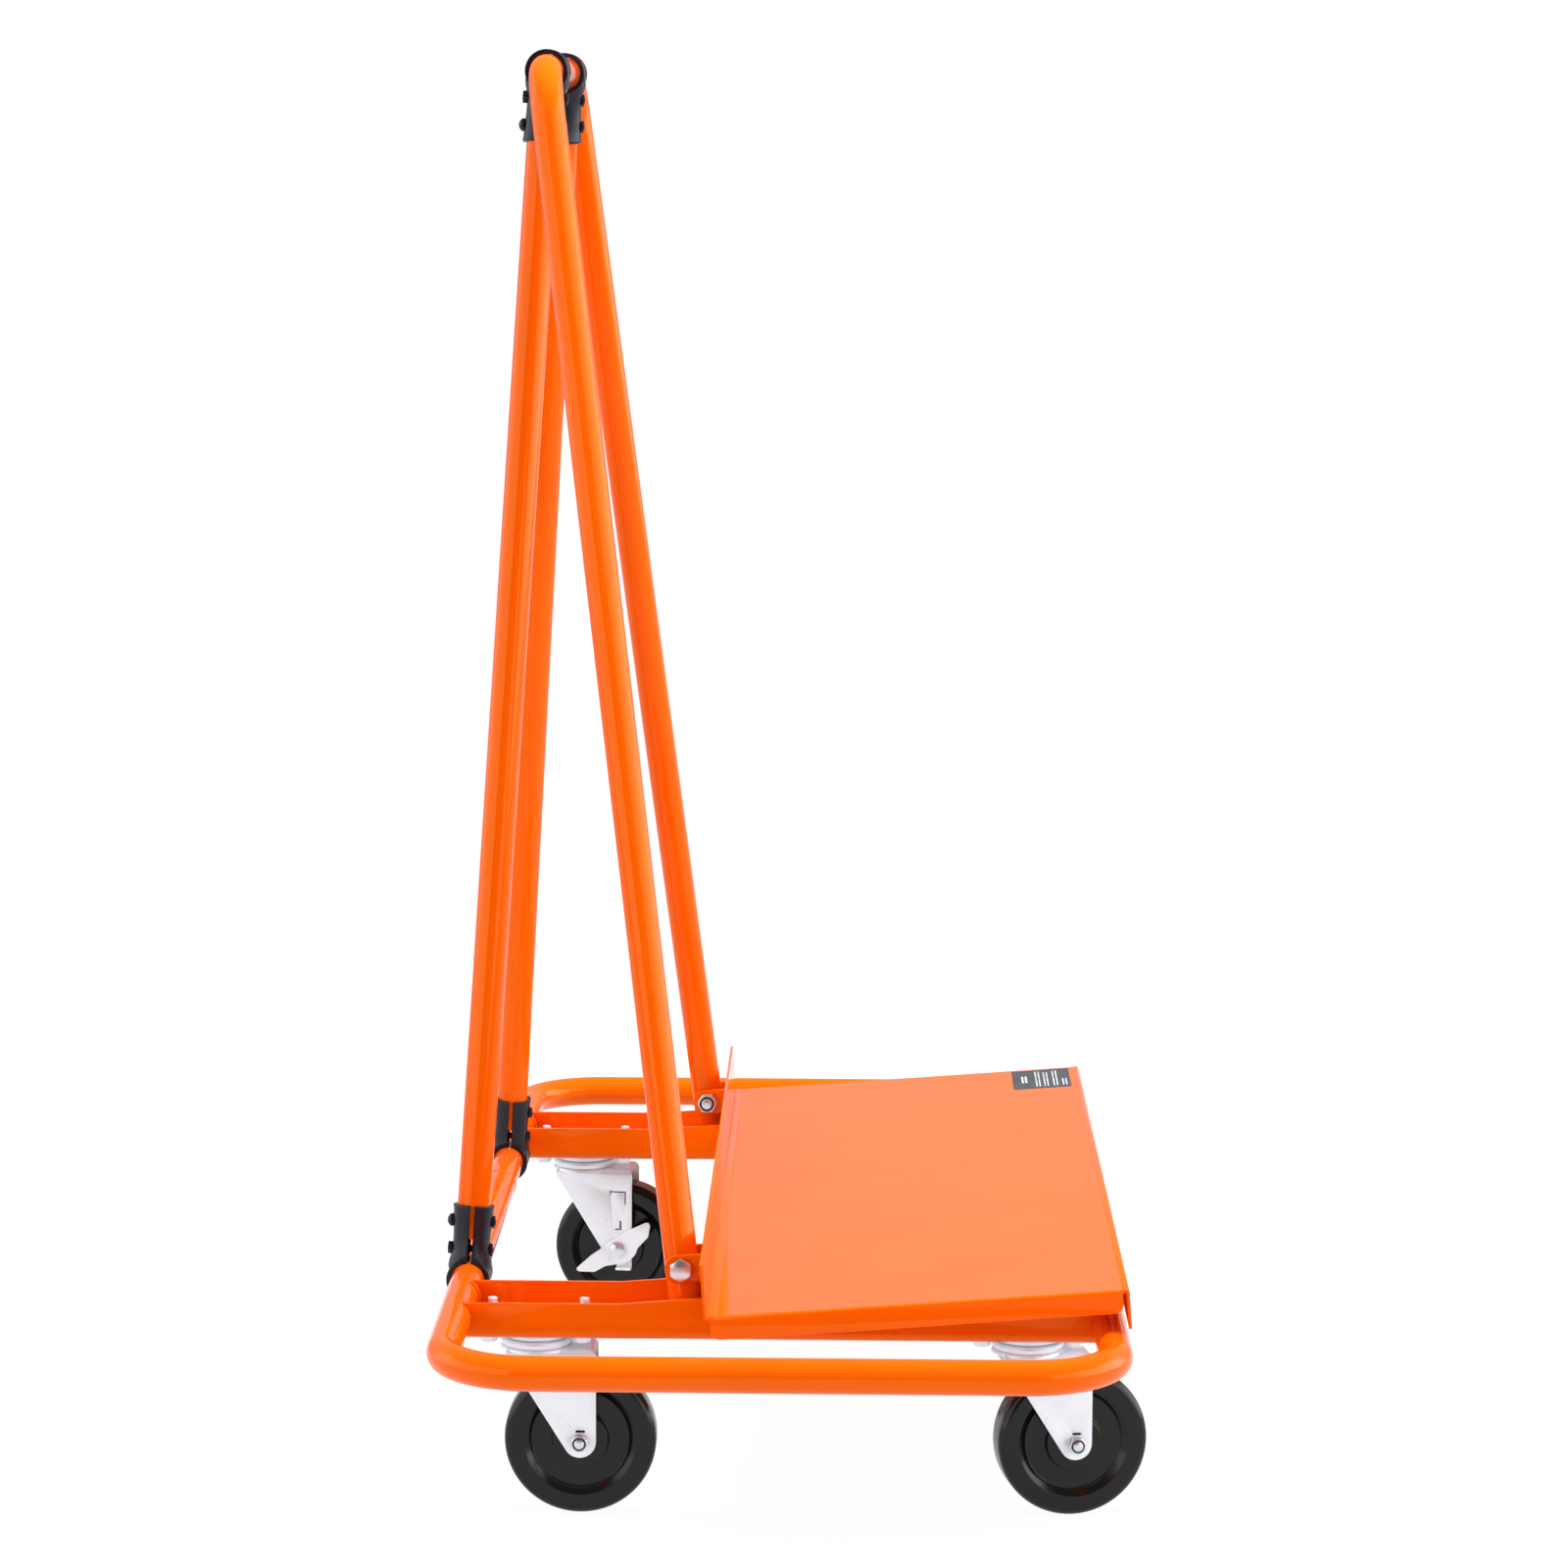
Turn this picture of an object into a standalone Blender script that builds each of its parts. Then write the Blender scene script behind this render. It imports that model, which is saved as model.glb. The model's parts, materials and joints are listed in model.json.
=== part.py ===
"""Drywall sheet cart: a tube and sheet-steel dolly with a bolted A-frame and four swivel casters.

Axes: +X is the load side, +Y runs along the cart from its front end to its rear end, +Z is up.
Sizes are in metres. The design is laid out around the middle of the base ring, with the floor
at Z = 0, and the whole cart is then centred on its footprint.
"""

import math

import bmesh
import bpy
from mathutils import Matrix, Vector

MM = 0.001

# Clearances between pieces that touch on the real cart
GAP = 0.3 * MM
HOLE_CLEARANCE = 0.5 * MM

# Round tube, used for the base ring, the hoop and the back legs
TUBE_R = 14.0 * MM
TUBE_WALL = 1.5 * MM

# Base ring
RING_LENGTH = 1150.0 * MM
RING_WIDTH = 560.0 * MM
RING_CORNER_R = 72.0 * MM
RING_DRAIN_R = 3.0 * MM

# Cross channels, open upwards; their level walls lie just inside the ring tube's height
CHANNEL_Y = 348.0 * MM
CHANNEL_WIDTH = 75.0 * MM
CHANNEL_GAUGE = 3.0 * MM
CHANNEL_TUBE_MARGIN = 0.5 * MM
CHANNEL_END_IN_TUBE = 8.4 * MM      # channel blank ends short of the ring's centre line

# Deck, a folded sheet that slopes down towards the hoop
DECK_FOLD_X = -58.8 * MM
DECK_FOLD_RISE = 8.5 * MM           # above the channels' level walls
DECK_SLOPE = math.radians(4.4)
DECK_OVERHANG = 11.7 * MM           # past the centre line of the ring's load-side tube
DECK_LENGTH = 930.0 * MM
DECK_GAUGE = 2.5 * MM
DECK_UPSTAND = 43.0 * MM
DECK_END_FLANGE = 19.0 * MM
DECK_LOAD_FLANGE = 32.0 * MM
DECK_FOLD_R = 4.0 * MM
DECK_CORNER_SLIT = 3.0 * MM
DECK_FLANGE_CORNER_R = 8.0 * MM

# Support hoop, an inverted U that leans over the back of the ring
HOOP_BOLT_INSET = 4.0 * MM          # bolts nearer the cart's middle than the channels
HOOP_BOLT_W = 16.9 * MM             # above the deck, square to it
HOOP_WEB_CLEARANCE = 3.1 * MM       # leg to the bracket's web
BAR_X = -205.7 * MM
BAR_RISE = 1007.0 * MM              # above the base ring
BAR_CORNER_Y = 182.0 * MM
HOOP_BEND_R = 48.0 * MM

# Leg brackets behind the deck's upstand
BRACKET_GAUGE = 3.0 * MM
BRACKET_HEIGHT = 23.0 * MM
BRACKET_SLACK = 3.0 * MM            # on each side of the leaning leg
BRACKET_EAR_BEYOND_BOLT = 13.0 * MM
BRACKET_CORNER_R = 10.0 * MM

# Back legs
BACK_LEG_FOOT_Y = 235.0 * MM
BACK_LEG_TO_BEND = 12.0 * MM

# T-clamps, two pressed halves each
CLAMP_WALL = 3.0 * MM
CLAMP_COLLAR_WALL = 3.8 * MM
CLAMP_COLLAR_WIDTH = 38.0 * MM
CLAMP_SLOT = 3.5 * MM
CLAMP_BOLT_TO_TUBE = 8.5 * MM
CLAMP_BOLT_TO_LEG_END = 9.5 * MM
CLAMP_BOLT_IN_LEG = 14.0 * MM
CLAMP_BOLT_R = 3.0 * MM
CLAMP_HEAD_R = 5.5 * MM
CLAMP_HEAD_T = 3.6 * MM
CLAMP_NUT_T = 1.8 * MM
CLAMP_BOLT_TAIL = 0.6 * MM

# Hoop bolts
HOOP_BOLT_R = 5.0 * MM
HOOP_HEX_R = 9.6 * MM
HOOP_HEAD_T = 6.4 * MM
HOOP_NUT_T = 8.0 * MM
HOOP_BOLT_TAIL = 3.5 * MM

# Swivel casters
SWIVEL_INSET = 64.5 * MM            # swivel axis from the ring tube's centre line
TRAIL = 36.3 * MM
WHEEL_R = 62.5 * MM
WHEEL_TREAD_WIDTH = 32.0 * MM
WHEEL_HUB_WIDTH = 37.0 * MM
WHEEL_SHOULDER_R = 7.0 * MM
WHEEL_RIM_BAND = 16.5 * MM
WHEEL_RIM_CHAMFER = 5.0 * MM
WHEEL_DISC_DEPTH = 5.0 * MM
WHEEL_HUB_R = 23.0 * MM
AXLE_R = 4.0 * MM
BUSHING_WALL = 2.5 * MM
AXLE_HEX_R = 7.4 * MM
AXLE_HEAD_T = 5.3 * MM
AXLE_NUT_T = 6.5 * MM
AXLE_TAIL = 2.5 * MM

PLATE_GAUGE = 3.0 * MM
PLATE_CORNER_R = 6.0 * MM
PLATE_BOLT_X = 38.0 * MM
PLATE_BOLT_TO_WALL = 12.0 * MM      # bolt axis to the channel wall's inner face
PLATE_MARGIN_X = 11.0 * MM
PLATE_MARGIN_Y = 10.5 * MM
PLATE_BOLT_R = 4.0 * MM
PLATE_HEX_R = 7.4 * MM
PLATE_HEAD_T = 5.3 * MM
PLATE_NUT_T = 6.5 * MM
PLATE_BOLT_TAIL = 7.5 * MM

RACE_TOP_R = 27.0 * MM
RACE_TOP_T = 5.5 * MM
RACE_R = 30.0 * MM
RACE_T = 6.0 * MM
RACE_CHAMFER = 2.0 * MM
KINGPIN_R = 6.0 * MM
KINGPIN_HEAD_R = 9.5 * MM
KINGPIN_HEAD_T = 3.0 * MM

FORK_GAUGE = 3.0 * MM
FORK_CROWN_CLEARANCE = 12.1 * MM    # above the wheel
FORK_SIDE_CLEARANCE = 1.5 * MM      # wheel hub to fork leg
FORK_BACK_X = -24.0 * MM
FORK_SHOULDER = 6.0 * MM
FORK_END_R = 13.3 * MM

# Side brake, a lever that turns on the axle bolt
LEVER_GAUGE = 2.5 * MM
LEVER_CLEARANCE = 0.8 * MM
LEVER_HOLE_R = AXLE_R + HOLE_CLEARANCE
LEVER_PEDAL_TILT = math.radians(32.0)
# Outlines around the axle in millimetres: along the heading, up, corner radius
LEVER_WING = ((-11.0, 5.0, 0), (11.7, 19.9, 6), (32.5, 29.8, 3), (29.8, 13.5, 3), (19.9, 2.7, 3),
              (17.1, -4.5, 3), (9.9, -11.7, 6), (-12.0, -16.3, 0))
LEVER_PEDAL = ((-26.2, -4.5, 2), (-10.0, 4.2, 0), (-11.0, -15.6, 0), (-23.5, -20.8, 3),
               (-44.2, -18.1, 2))
STOP_TAB_DROP = 19.0 * MM
STOP_TAB_BACK = 1.3 * MM
STOP_TAB_REACH = 7.0 * MM

# Casters: name, end of the cart (-1 front), side (+1 load side), rest heading, has a brake
CASTERS = (
    ("front_back", -1, -1, 0.0, False),
    ("front_load", -1, 1, math.radians(10.7), False),
    ("rear_back", 1, -1, math.radians(-7.0), True),
    ("rear_load", 1, 1, math.radians(-3.0), True),
)

# Facets
WELD_DISTANCE = 0.01 * MM
SHARP_EDGE = math.radians(35.0)
TUBE_RESOLUTION = 4                 # 12 sides
BEND_STEPS = 5
FOLD_STEPS = 3
FORK_END_STEPS = 6
LEVER_STEPS = 2
CLAMP_SIDES = 16
BOLT_SIDES = 10
SHANK_SIDES = 8
WHEEL_STEPS = 24
RACE_STEPS = 14
WHEEL_SHOULDER_ANGLES = (math.radians(80.0), math.radians(40.0), 0.0)

# Derived places
FORK_TOP_Z = 2 * WHEEL_R + FORK_CROWN_CLEARANCE + FORK_GAUGE
RACE_UPPER_Z = FORK_TOP_Z + GAP + RACE_T
RACE_TOP_BOTTOM_Z = RACE_UPPER_Z + GAP
PLATE_BOTTOM_Z = RACE_TOP_BOTTOM_Z + RACE_TOP_T
PLATE_TOP_Z = PLATE_BOTTOM_Z + PLATE_GAUGE
CHANNEL_BOTTOM_Z = PLATE_TOP_Z + GAP
CHANNEL_FLOOR_Z = CHANNEL_BOTTOM_Z + CHANNEL_GAUGE
RING_X = RING_WIDTH / 2 - TUBE_R
RING_Y = RING_LENGTH / 2 - TUBE_R
RING_Z = CHANNEL_BOTTOM_Z + TUBE_R - CHANNEL_TUBE_MARGIN
CHANNEL_TOP_Z = RING_Z + TUBE_R - CHANNEL_TUBE_MARGIN
SWIVEL_X = RING_X - SWIVEL_INSET
PLATE_BOLT_Y = CHANNEL_WIDTH / 2 - CHANNEL_GAUGE - PLATE_BOLT_TO_WALL
PLATE_LENGTH = 2 * (PLATE_BOLT_X + PLATE_MARGIN_X)
PLATE_WIDTH = 2 * (PLATE_BOLT_Y + PLATE_MARGIN_Y)
WHEEL_RIM_R = WHEEL_R - WHEEL_RIM_BAND
WHEEL_DISC_R = WHEEL_RIM_R - WHEEL_RIM_CHAMFER
DECK_FOLD_Z = CHANNEL_TOP_Z + DECK_FOLD_RISE
DECK_WIDTH = (RING_X + DECK_OVERHANG - DECK_FOLD_X) / math.cos(DECK_SLOPE)
HOOP_BOLT_U = -(DECK_GAUGE + GAP + BRACKET_GAUGE + HOOP_WEB_CLEARANCE + TUBE_R)
HOOP_BOLT_Y = CHANNEL_Y - HOOP_BOLT_INSET
BAR_Z = RING_Z + BAR_RISE
BACK_LEG_TOP_Y = BAR_CORNER_Y - HOOP_BEND_R - BACK_LEG_TO_BEND
CLAMP_TUBE_BOLT_REACH = TUBE_R + CLAMP_BOLT_TO_TUBE
LEG_END_REACH = CLAMP_TUBE_BOLT_REACH + CLAMP_BOLT_TO_LEG_END
CLAMP_LEG_BOLT_REACH = LEG_END_REACH + CLAMP_BOLT_IN_LEG
CLAMP_REACH = CLAMP_LEG_BOLT_REACH + CLAMP_BOLT_IN_LEG
CLAMP_BOLT_REACHES = (CLAMP_TUBE_BOLT_REACH, CLAMP_LEG_BOLT_REACH)
FORK_INNER_HALF = WHEEL_HUB_WIDTH / 2 + FORK_SIDE_CLEARANCE
FORK_OUTER_HALF = FORK_INNER_HALF + FORK_GAUGE
FORK_FRONT_X = TRAIL + FORK_END_R
BUSHING_R = AXLE_R + HOLE_CLEARANCE + BUSHING_WALL
SLEEVE_R = TUBE_R + GAP + CLAMP_WALL
COLLAR_R = TUBE_R + GAP + CLAMP_COLLAR_WALL
DECK_ORIGIN = Vector((DECK_FOLD_X, 0.0, DECK_FOLD_Z))
DECK_U = Vector((math.cos(DECK_SLOPE), 0.0, math.sin(DECK_SLOPE)))
DECK_W = Vector((-math.sin(DECK_SLOPE), 0.0, math.cos(DECK_SLOPE)))

# Local XY plane stood up as the cart's XZ plane, with local Z along -Y
UPRIGHT = Matrix.Rotation(math.radians(90.0), 4, "X")


def clear_scene():
    for obj in list(bpy.data.objects):
        bpy.data.objects.remove(obj, do_unlink=True)


def new_collection(name):
    collection = bpy.data.collections.new(name)
    bpy.context.scene.collection.children.link(collection)
    return collection


clear_scene()
PARTS = new_collection("drywall_sheet_cart")
CUTTERS = new_collection("cutters")
CART = bpy.data.objects.new("cart_origin", None)
PARTS.objects.link(CART)


def make_material(name, colour, roughness, metallic):
    material = bpy.data.materials.new(name)
    material.use_nodes = True
    shader = material.node_tree.nodes["Principled BSDF"]
    shader.inputs["Base Color"].default_value = (*colour, 1.0)
    shader.inputs["Roughness"].default_value = roughness
    shader.inputs["Metallic"].default_value = metallic
    material.diffuse_color = (*colour, 1.0)
    return material


ORANGE = make_material("orange_powder_coat", (1.0, 0.15, 0.006), 0.3, 0.0)
BLACK_STEEL = make_material("black_pressed_steel", (0.02, 0.02, 0.03), 0.4, 0.3)
ZINC = make_material("zinc_plate", (0.72, 0.75, 0.80), 0.3, 0.9)
WHEEL_BLACK = make_material("black_wheel", (0.02, 0.018, 0.02), 0.25, 0.0)
BUSH_NYLON = make_material("bushing_nylon", (0.5, 0.5, 0.48), 0.5, 0.0)


# ---------------------------------------------------------------- shape tools

def mesh_object(name, fill, matrix=Matrix()):
    mesh = bpy.data.meshes.new(name)
    bm = bmesh.new()
    fill(bm)
    bm.to_mesh(mesh)
    bm.free()
    return place(name, mesh, matrix)


def place(name, mesh, matrix=Matrix()):
    obj = bpy.data.objects.new(name, mesh)
    PARTS.objects.link(obj)
    obj.matrix_world = matrix
    return obj


def evaluated_mesh(obj):
    depsgraph = bpy.context.evaluated_depsgraph_get()
    return bpy.data.meshes.new_from_object(obj.evaluated_get(depsgraph))


def curve_to_mesh(curve):
    """Replace a curve by a mesh object with welded caps."""
    mesh = evaluated_mesh(curve)
    bm = bmesh.new()
    bm.from_mesh(mesh)
    bmesh.ops.remove_doubles(bm, verts=bm.verts, dist=WELD_DISTANCE)
    bm.to_mesh(mesh)
    bm.free()
    name = curve.name
    matrix = curve.matrix_world.copy()
    bpy.data.objects.remove(curve, do_unlink=True)
    return place(name, mesh, matrix)


def curve_object(name, point_lists, cyclic, dimensions, matrix=Matrix()):
    curve = bpy.data.curves.new(name, "CURVE")
    curve.dimensions = dimensions
    for points in point_lists:
        spline = curve.splines.new("POLY")
        spline.points.add(len(points) - 1)
        for target, point in zip(spline.points, points):
            target.co = (*Vector(point).to_3d(), 1.0)
        spline.use_cyclic_u = cyclic
    obj = bpy.data.objects.new(name, curve)
    PARTS.objects.link(obj)
    obj.matrix_world = matrix
    return obj


def hollow_tube(name, points, cyclic=False):
    """A bent tube along a path, with open ends."""
    obj = curve_object(name, [points], cyclic, "3D")
    obj.data.bevel_depth = TUBE_R
    obj.data.bevel_resolution = TUBE_RESOLUTION
    obj.data.use_fill_caps = False
    obj = curve_to_mesh(obj)
    wall = obj.modifiers.new("wall", "SOLIDIFY")
    wall.thickness = TUBE_WALL
    wall.offset = -1.0
    return obj


def extruded(name, outlines, thickness, matrix=Matrix()):
    """A flat outline, with any holes, thickened equally both ways."""
    obj = curve_object(name, outlines, True, "2D", matrix)
    obj.data.fill_mode = "BOTH"
    obj.data.extrude = thickness / 2
    return curve_to_mesh(obj)


def turned(name, profile, steps, matrix=Matrix()):
    """A profile in the XZ plane, turned about Z; it is closed unless it ends on the axis."""
    def fill(bm):
        verts = [bm.verts.new((x, 0.0, z)) for x, z in profile]
        following = verts[1:] if profile[0][0] == 0 else verts[1:] + verts[:1]
        for first, second in zip(verts, following):
            bm.edges.new((first, second))
    obj = mesh_object(name, fill, matrix)
    screw = obj.modifiers.new("turn", "SCREW")
    screw.steps = screw.render_steps = steps
    screw.use_merge_vertices = True
    screw.merge_threshold = WELD_DISTANCE
    return obj


def rod(name, radius, start, end, sides):
    """A solid rod between two points."""
    start, end = Vector(start), Vector(end)
    axis = end - start
    turn = Vector((0, 0, 1)).rotation_difference(axis).to_matrix().to_4x4()
    matrix = Matrix.Translation((start + end) / 2) @ turn

    def fill(bm):
        bmesh.ops.create_cone(
            bm, cap_ends=True, segments=sides, radius1=radius, radius2=radius, depth=axis.length)
    return mesh_object(name, fill, matrix)


def bore(name, radius, start, end, sides):
    """A cutter for a round hole whose flat facets clear the given radius."""
    return rod(name, radius / math.cos(math.pi / sides), start, end, sides)


def block(name, low, high, matrix=Matrix()):
    """A box between two opposite corners."""
    low, high = Vector(low), Vector(high)
    size = Matrix.Diagonal((*(high - low), 1.0))

    def fill(bm):
        bmesh.ops.create_cube(bm, size=1.0, matrix=Matrix.Translation((low + high) / 2) @ size)
    return mesh_object(name, fill, matrix)


def combine(obj, tool, operation):
    boolean = obj.modifiers.new(tool.name, "BOOLEAN")
    boolean.operation = operation
    boolean.object = tool
    PARTS.objects.unlink(tool)
    CUTTERS.objects.link(tool)
    tool.parent = CART
    tool.hide_render = True
    tool.display_type = "WIRE"


def cut(obj, *tools):
    for tool in tools:
        combine(obj, tool, "DIFFERENCE")


def join(obj, *tools):
    for tool in tools:
        combine(obj, tool, "UNION")


def settled_mesh(obj, name):
    """The finished mesh of a template piece, which is then removed with its cutters."""
    mesh = evaluated_mesh(obj)
    mesh.name = name
    mesh.transform(obj.matrix_world)
    tools = [m.object for m in obj.modifiers if m.type == "BOOLEAN"]
    for item in [obj, *tools]:
        bpy.data.objects.remove(item, do_unlink=True)
    mesh.shade_smooth()
    mesh.set_sharp_from_angle(angle=SHARP_EDGE)
    return mesh


def finish(obj, material, parent=CART):
    obj.data.materials.clear()
    obj.data.materials.append(material)
    keep = obj.matrix_world.copy()
    obj.parent = parent
    obj.matrix_parent_inverse = Matrix()
    obj.matrix_local = parent.matrix_world.inverted() @ keep
    obj.data.shade_smooth()
    obj.data.set_sharp_from_angle(angle=SHARP_EDGE)
    return obj


# ------------------------------------------------------------- outline tools

def rounded_path(corners, radii, closed, steps=BEND_STEPS):
    """Points along straight runs, with an arc of the given radius at each corner."""
    corners = [Vector(c).to_3d() for c in corners]
    count = len(corners)
    path = []
    for index, corner in enumerate(corners):
        radius = radii[index] if isinstance(radii, (list, tuple)) else radii
        is_end = not closed and index in (0, count - 1)
        if is_end or radius == 0:
            path.append(corner)
            continue
        back = (corners[index - 1] - corner).normalized()
        ahead = (corners[(index + 1) % count] - corner).normalized()
        half = back.angle(ahead) / 2
        centre = corner + (back + ahead).normalized() * radius / math.sin(half)
        start = corner + back * radius / math.tan(half) - centre
        run_out = corner + ahead * radius / math.tan(half) - centre
        side = (run_out - start * (start.dot(run_out) / radius ** 2)).normalized() * radius
        sweep = math.pi - 2 * half
        for step in range(steps + 1):
            angle = sweep * step / steps
            path.append(centre + start * math.cos(angle) + side * math.sin(angle))
    return path


def circle(x, y, radius, sides):
    turn = 2 * math.pi / sides
    return [(x + radius * math.cos(i * turn), y + radius * math.sin(i * turn)) for i in range(sides)]


def deck_point(u, y, w):
    """A point in the deck's own sloping frame: u along the slope, w out of its top face."""
    return DECK_ORIGIN + DECK_U * u + Vector((0, y, 0)) + DECK_W * w


def deck_frame(y):
    """Local X along the deck's slope and local Y out of its top face, at one place on Y."""
    return (Matrix.Translation(DECK_ORIGIN + Vector((0, y, 0)))
            @ Matrix.Rotation(-DECK_SLOPE, 4, "Y") @ UPRIGHT)


def deck_underside_z(x):
    """Height of the deck sheet's underside above a place on the floor."""
    below = DECK_ORIGIN - DECK_W * DECK_GAUGE
    return below.z + (x - below.x) * math.tan(DECK_SLOPE)


# ------------------------------------------------------------------ the base

def make_base_ring():
    corners = [(RING_X, -RING_Y, RING_Z), (RING_X, RING_Y, RING_Z),
               (-RING_X, RING_Y, RING_Z), (-RING_X, -RING_Y, RING_Z)]
    ring = hollow_tube("base_ring", rounded_path(corners, RING_CORNER_R, True), cyclic=True)
    low = RING_Z - 2 * TUBE_R
    cut(ring, rod("ring_drain", RING_DRAIN_R, (0, -RING_Y, low), (0, -RING_Y, RING_Z), BOLT_SIDES))
    return finish(ring, ORANGE)


def make_channel(name, end):
    """A U-channel whose walls rise to carry the sloping deck; its ends are coped to the ring."""
    def support(x):
        return deck_underside_z(x) - GAP

    kink_x = (CHANNEL_TOP_Z - support(0.0)) / math.tan(DECK_SLOPE)
    reach = RING_X - CHANNEL_END_IN_TUBE
    outline = [(-reach, CHANNEL_BOTTOM_Z), (reach, CHANNEL_BOTTOM_Z), (reach, support(reach)),
               (kink_x, CHANNEL_TOP_Z), (-reach, CHANNEL_TOP_Z)]
    y = end * CHANNEL_Y
    at_end = Matrix.Translation((0, y, 0)) @ UPRIGHT
    channel = extruded(name, [outline], CHANNEL_WIDTH, at_end)
    inside = CHANNEL_WIDTH / 2 - CHANNEL_GAUGE
    cut(channel, block(name + "_trough", (-RING_WIDTH, y - inside, CHANNEL_FLOOR_Z),
                       (RING_WIDTH, y + inside, BAR_Z)))
    for side in (-1, 1):
        cut(channel, bore(f"{name}_cope_{side}", TUBE_R + GAP,
                          (side * RING_X, y - CHANNEL_WIDTH, RING_Z),
                          (side * RING_X, y + CHANNEL_WIDTH, RING_Z), CLAMP_SIDES))
        for x, hole_y in plate_bolt_places():
            hole = (side * SWIVEL_X + x, y + hole_y)
            cut(channel, bore(f"{name}_hole_{side}_{x}_{hole_y}", PLATE_BOLT_R + HOLE_CLEARANCE,
                              (*hole, CHANNEL_BOTTOM_Z - CHANNEL_GAUGE),
                              (*hole, CHANNEL_FLOOR_Z + CHANNEL_GAUGE), BOLT_SIDES))
    return finish(channel, ORANGE)


def make_deck():
    """The folded sheet: upstand, sloping deck and load-side flange, with two end flanges."""
    load_u = DECK_WIDTH
    half = DECK_LENGTH / 2
    outer = [(0, DECK_UPSTAND), (0, 0), (load_u, 0), (load_u, -DECK_LOAD_FLANGE)]
    inner = [(load_u - DECK_GAUGE, -DECK_LOAD_FLANGE), (load_u - DECK_GAUGE, -DECK_GAUGE),
             (-DECK_GAUGE, -DECK_GAUGE), (-DECK_GAUGE, DECK_UPSTAND)]
    inner_r = DECK_FOLD_R - DECK_GAUGE
    radii = [0, inner_r, DECK_FOLD_R, 0, 0, inner_r, DECK_FOLD_R, 0]
    section = rounded_path(outer + inner, radii, True, FOLD_STEPS)
    deck = extruded("deck_plate", [section], DECK_LENGTH, deck_frame(0.0))
    flange_end = load_u - DECK_GAUGE - DECK_CORNER_SLIT
    flange = [(0, 0), (0, -DECK_END_FLANGE), (flange_end, -DECK_END_FLANGE), (flange_end, 0)]
    below_top = [(u, w - DECK_GAUGE / 2) for u, w in flange]
    radii = [0, DECK_FLANGE_CORNER_R, DECK_FLANGE_CORNER_R, 0]
    outline = rounded_path(below_top, radii, True, FOLD_STEPS)
    for end in (-1, 1):
        at_end = deck_frame(end * (half - DECK_GAUGE / 2))
        join(deck, extruded(f"end_flange_{end}", [outline], DECK_GAUGE, at_end))
    return finish(deck, ORANGE)


def hoop_axis(end):
    """The straight run of one hoop leg: its bolt centre and its corner on the top bar."""
    return (deck_point(HOOP_BOLT_U, end * HOOP_BOLT_Y, HOOP_BOLT_W),
            Vector((BAR_X, end * BAR_CORNER_Y, BAR_Z)))


def hoop_foot(end):
    """The leg's lower end, just above the channel's floor."""
    bolt, corner = hoop_axis(end)
    direction = (bolt - corner).normalized()
    tilt = math.sqrt(direction.x ** 2 + direction.y ** 2)
    foot_z = CHANNEL_FLOOR_Z + GAP + TUBE_R * tilt
    return bolt + direction * (bolt.z - foot_z) / -direction.z


def make_leg_bracket(name, end):
    """A clevis welded behind the upstand, with an ear on each side of the hoop's leg."""
    bolt_u = HOOP_BOLT_U
    bolt_w = HOOP_BOLT_W
    web_u = -DECK_GAUGE - GAP
    half_h = BRACKET_HEIGHT / 2
    left_u = bolt_u - BRACKET_EAR_BEYOND_BOLT
    outline = rounded_path([(web_u, bolt_w - half_h), (web_u, bolt_w + half_h),
                            (left_u, bolt_w + half_h), (left_u, bolt_w - half_h)],
                           [0, 0, BRACKET_CORNER_R, BRACKET_CORNER_R], True, BEND_STEPS)
    hole = circle(bolt_u, bolt_w, HOOP_BOLT_R + HOLE_CLEARANCE, BOLT_SIDES)
    frame = deck_frame(end * HOOP_BOLT_Y)
    inner = TUBE_R + BRACKET_SLACK
    bracket = extruded(name, [outline, hole], 2 * (inner + BRACKET_GAUGE), frame)
    cut(bracket, block(name + "_throat", (left_u - half_h, bolt_w - BRACKET_HEIGHT, -inner),
                       (web_u - BRACKET_GAUGE, bolt_w + BRACKET_HEIGHT, inner), frame))
    return finish(bracket, ORANGE)


# --------------------------------------------------------------- the A-frame

def make_hoop():
    corners = [hoop_foot(-1), hoop_axis(-1)[1], hoop_axis(1)[1], hoop_foot(1)]
    hoop = hollow_tube("support_hoop", rounded_path(corners, HOOP_BEND_R, False))
    for end in (-1, 1):
        bolt = hoop_axis(end)[0]
        across = Vector((0, 2 * TUBE_R, 0))
        cut(hoop, bore(f"hoop_hole_{end}", HOOP_BOLT_R + HOLE_CLEARANCE,
                       bolt - across, bolt + across, BOLT_SIDES))
    return finish(hoop, ORANGE)


def make_hoop_fastener(name, end):
    """A hex bolt through the bracket and the leg, its head outward, and its nut."""
    outward = Vector((0, end, 0))
    bolt = hoop_axis(end)[0]
    face = TUBE_R + BRACKET_SLACK + BRACKET_GAUGE + GAP
    screw = rod(f"hoop_bolt_{name}", HOOP_BOLT_R,
                bolt - outward * (face + HOOP_NUT_T + HOOP_BOLT_TAIL),
                bolt + outward * (face + HOOP_HEAD_T / 2), BOLT_SIDES)
    join(screw, rod(f"hoop_head_{name}", HOOP_HEX_R, bolt + outward * face,
                    bolt + outward * (face + HOOP_HEAD_T), 6))
    finish(screw, ZINC)
    nut = rod(f"hoop_nut_{name}", HOOP_HEX_R, bolt - outward * face,
              bolt - outward * (face + HOOP_NUT_T), 6)
    cut(nut, bore(f"hoop_thread_{name}", HOOP_BOLT_R + GAP, bolt - outward * TUBE_R,
                  bolt - outward * (face + 2 * HOOP_NUT_T), BOLT_SIDES))
    return finish(nut, ZINC)


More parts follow.
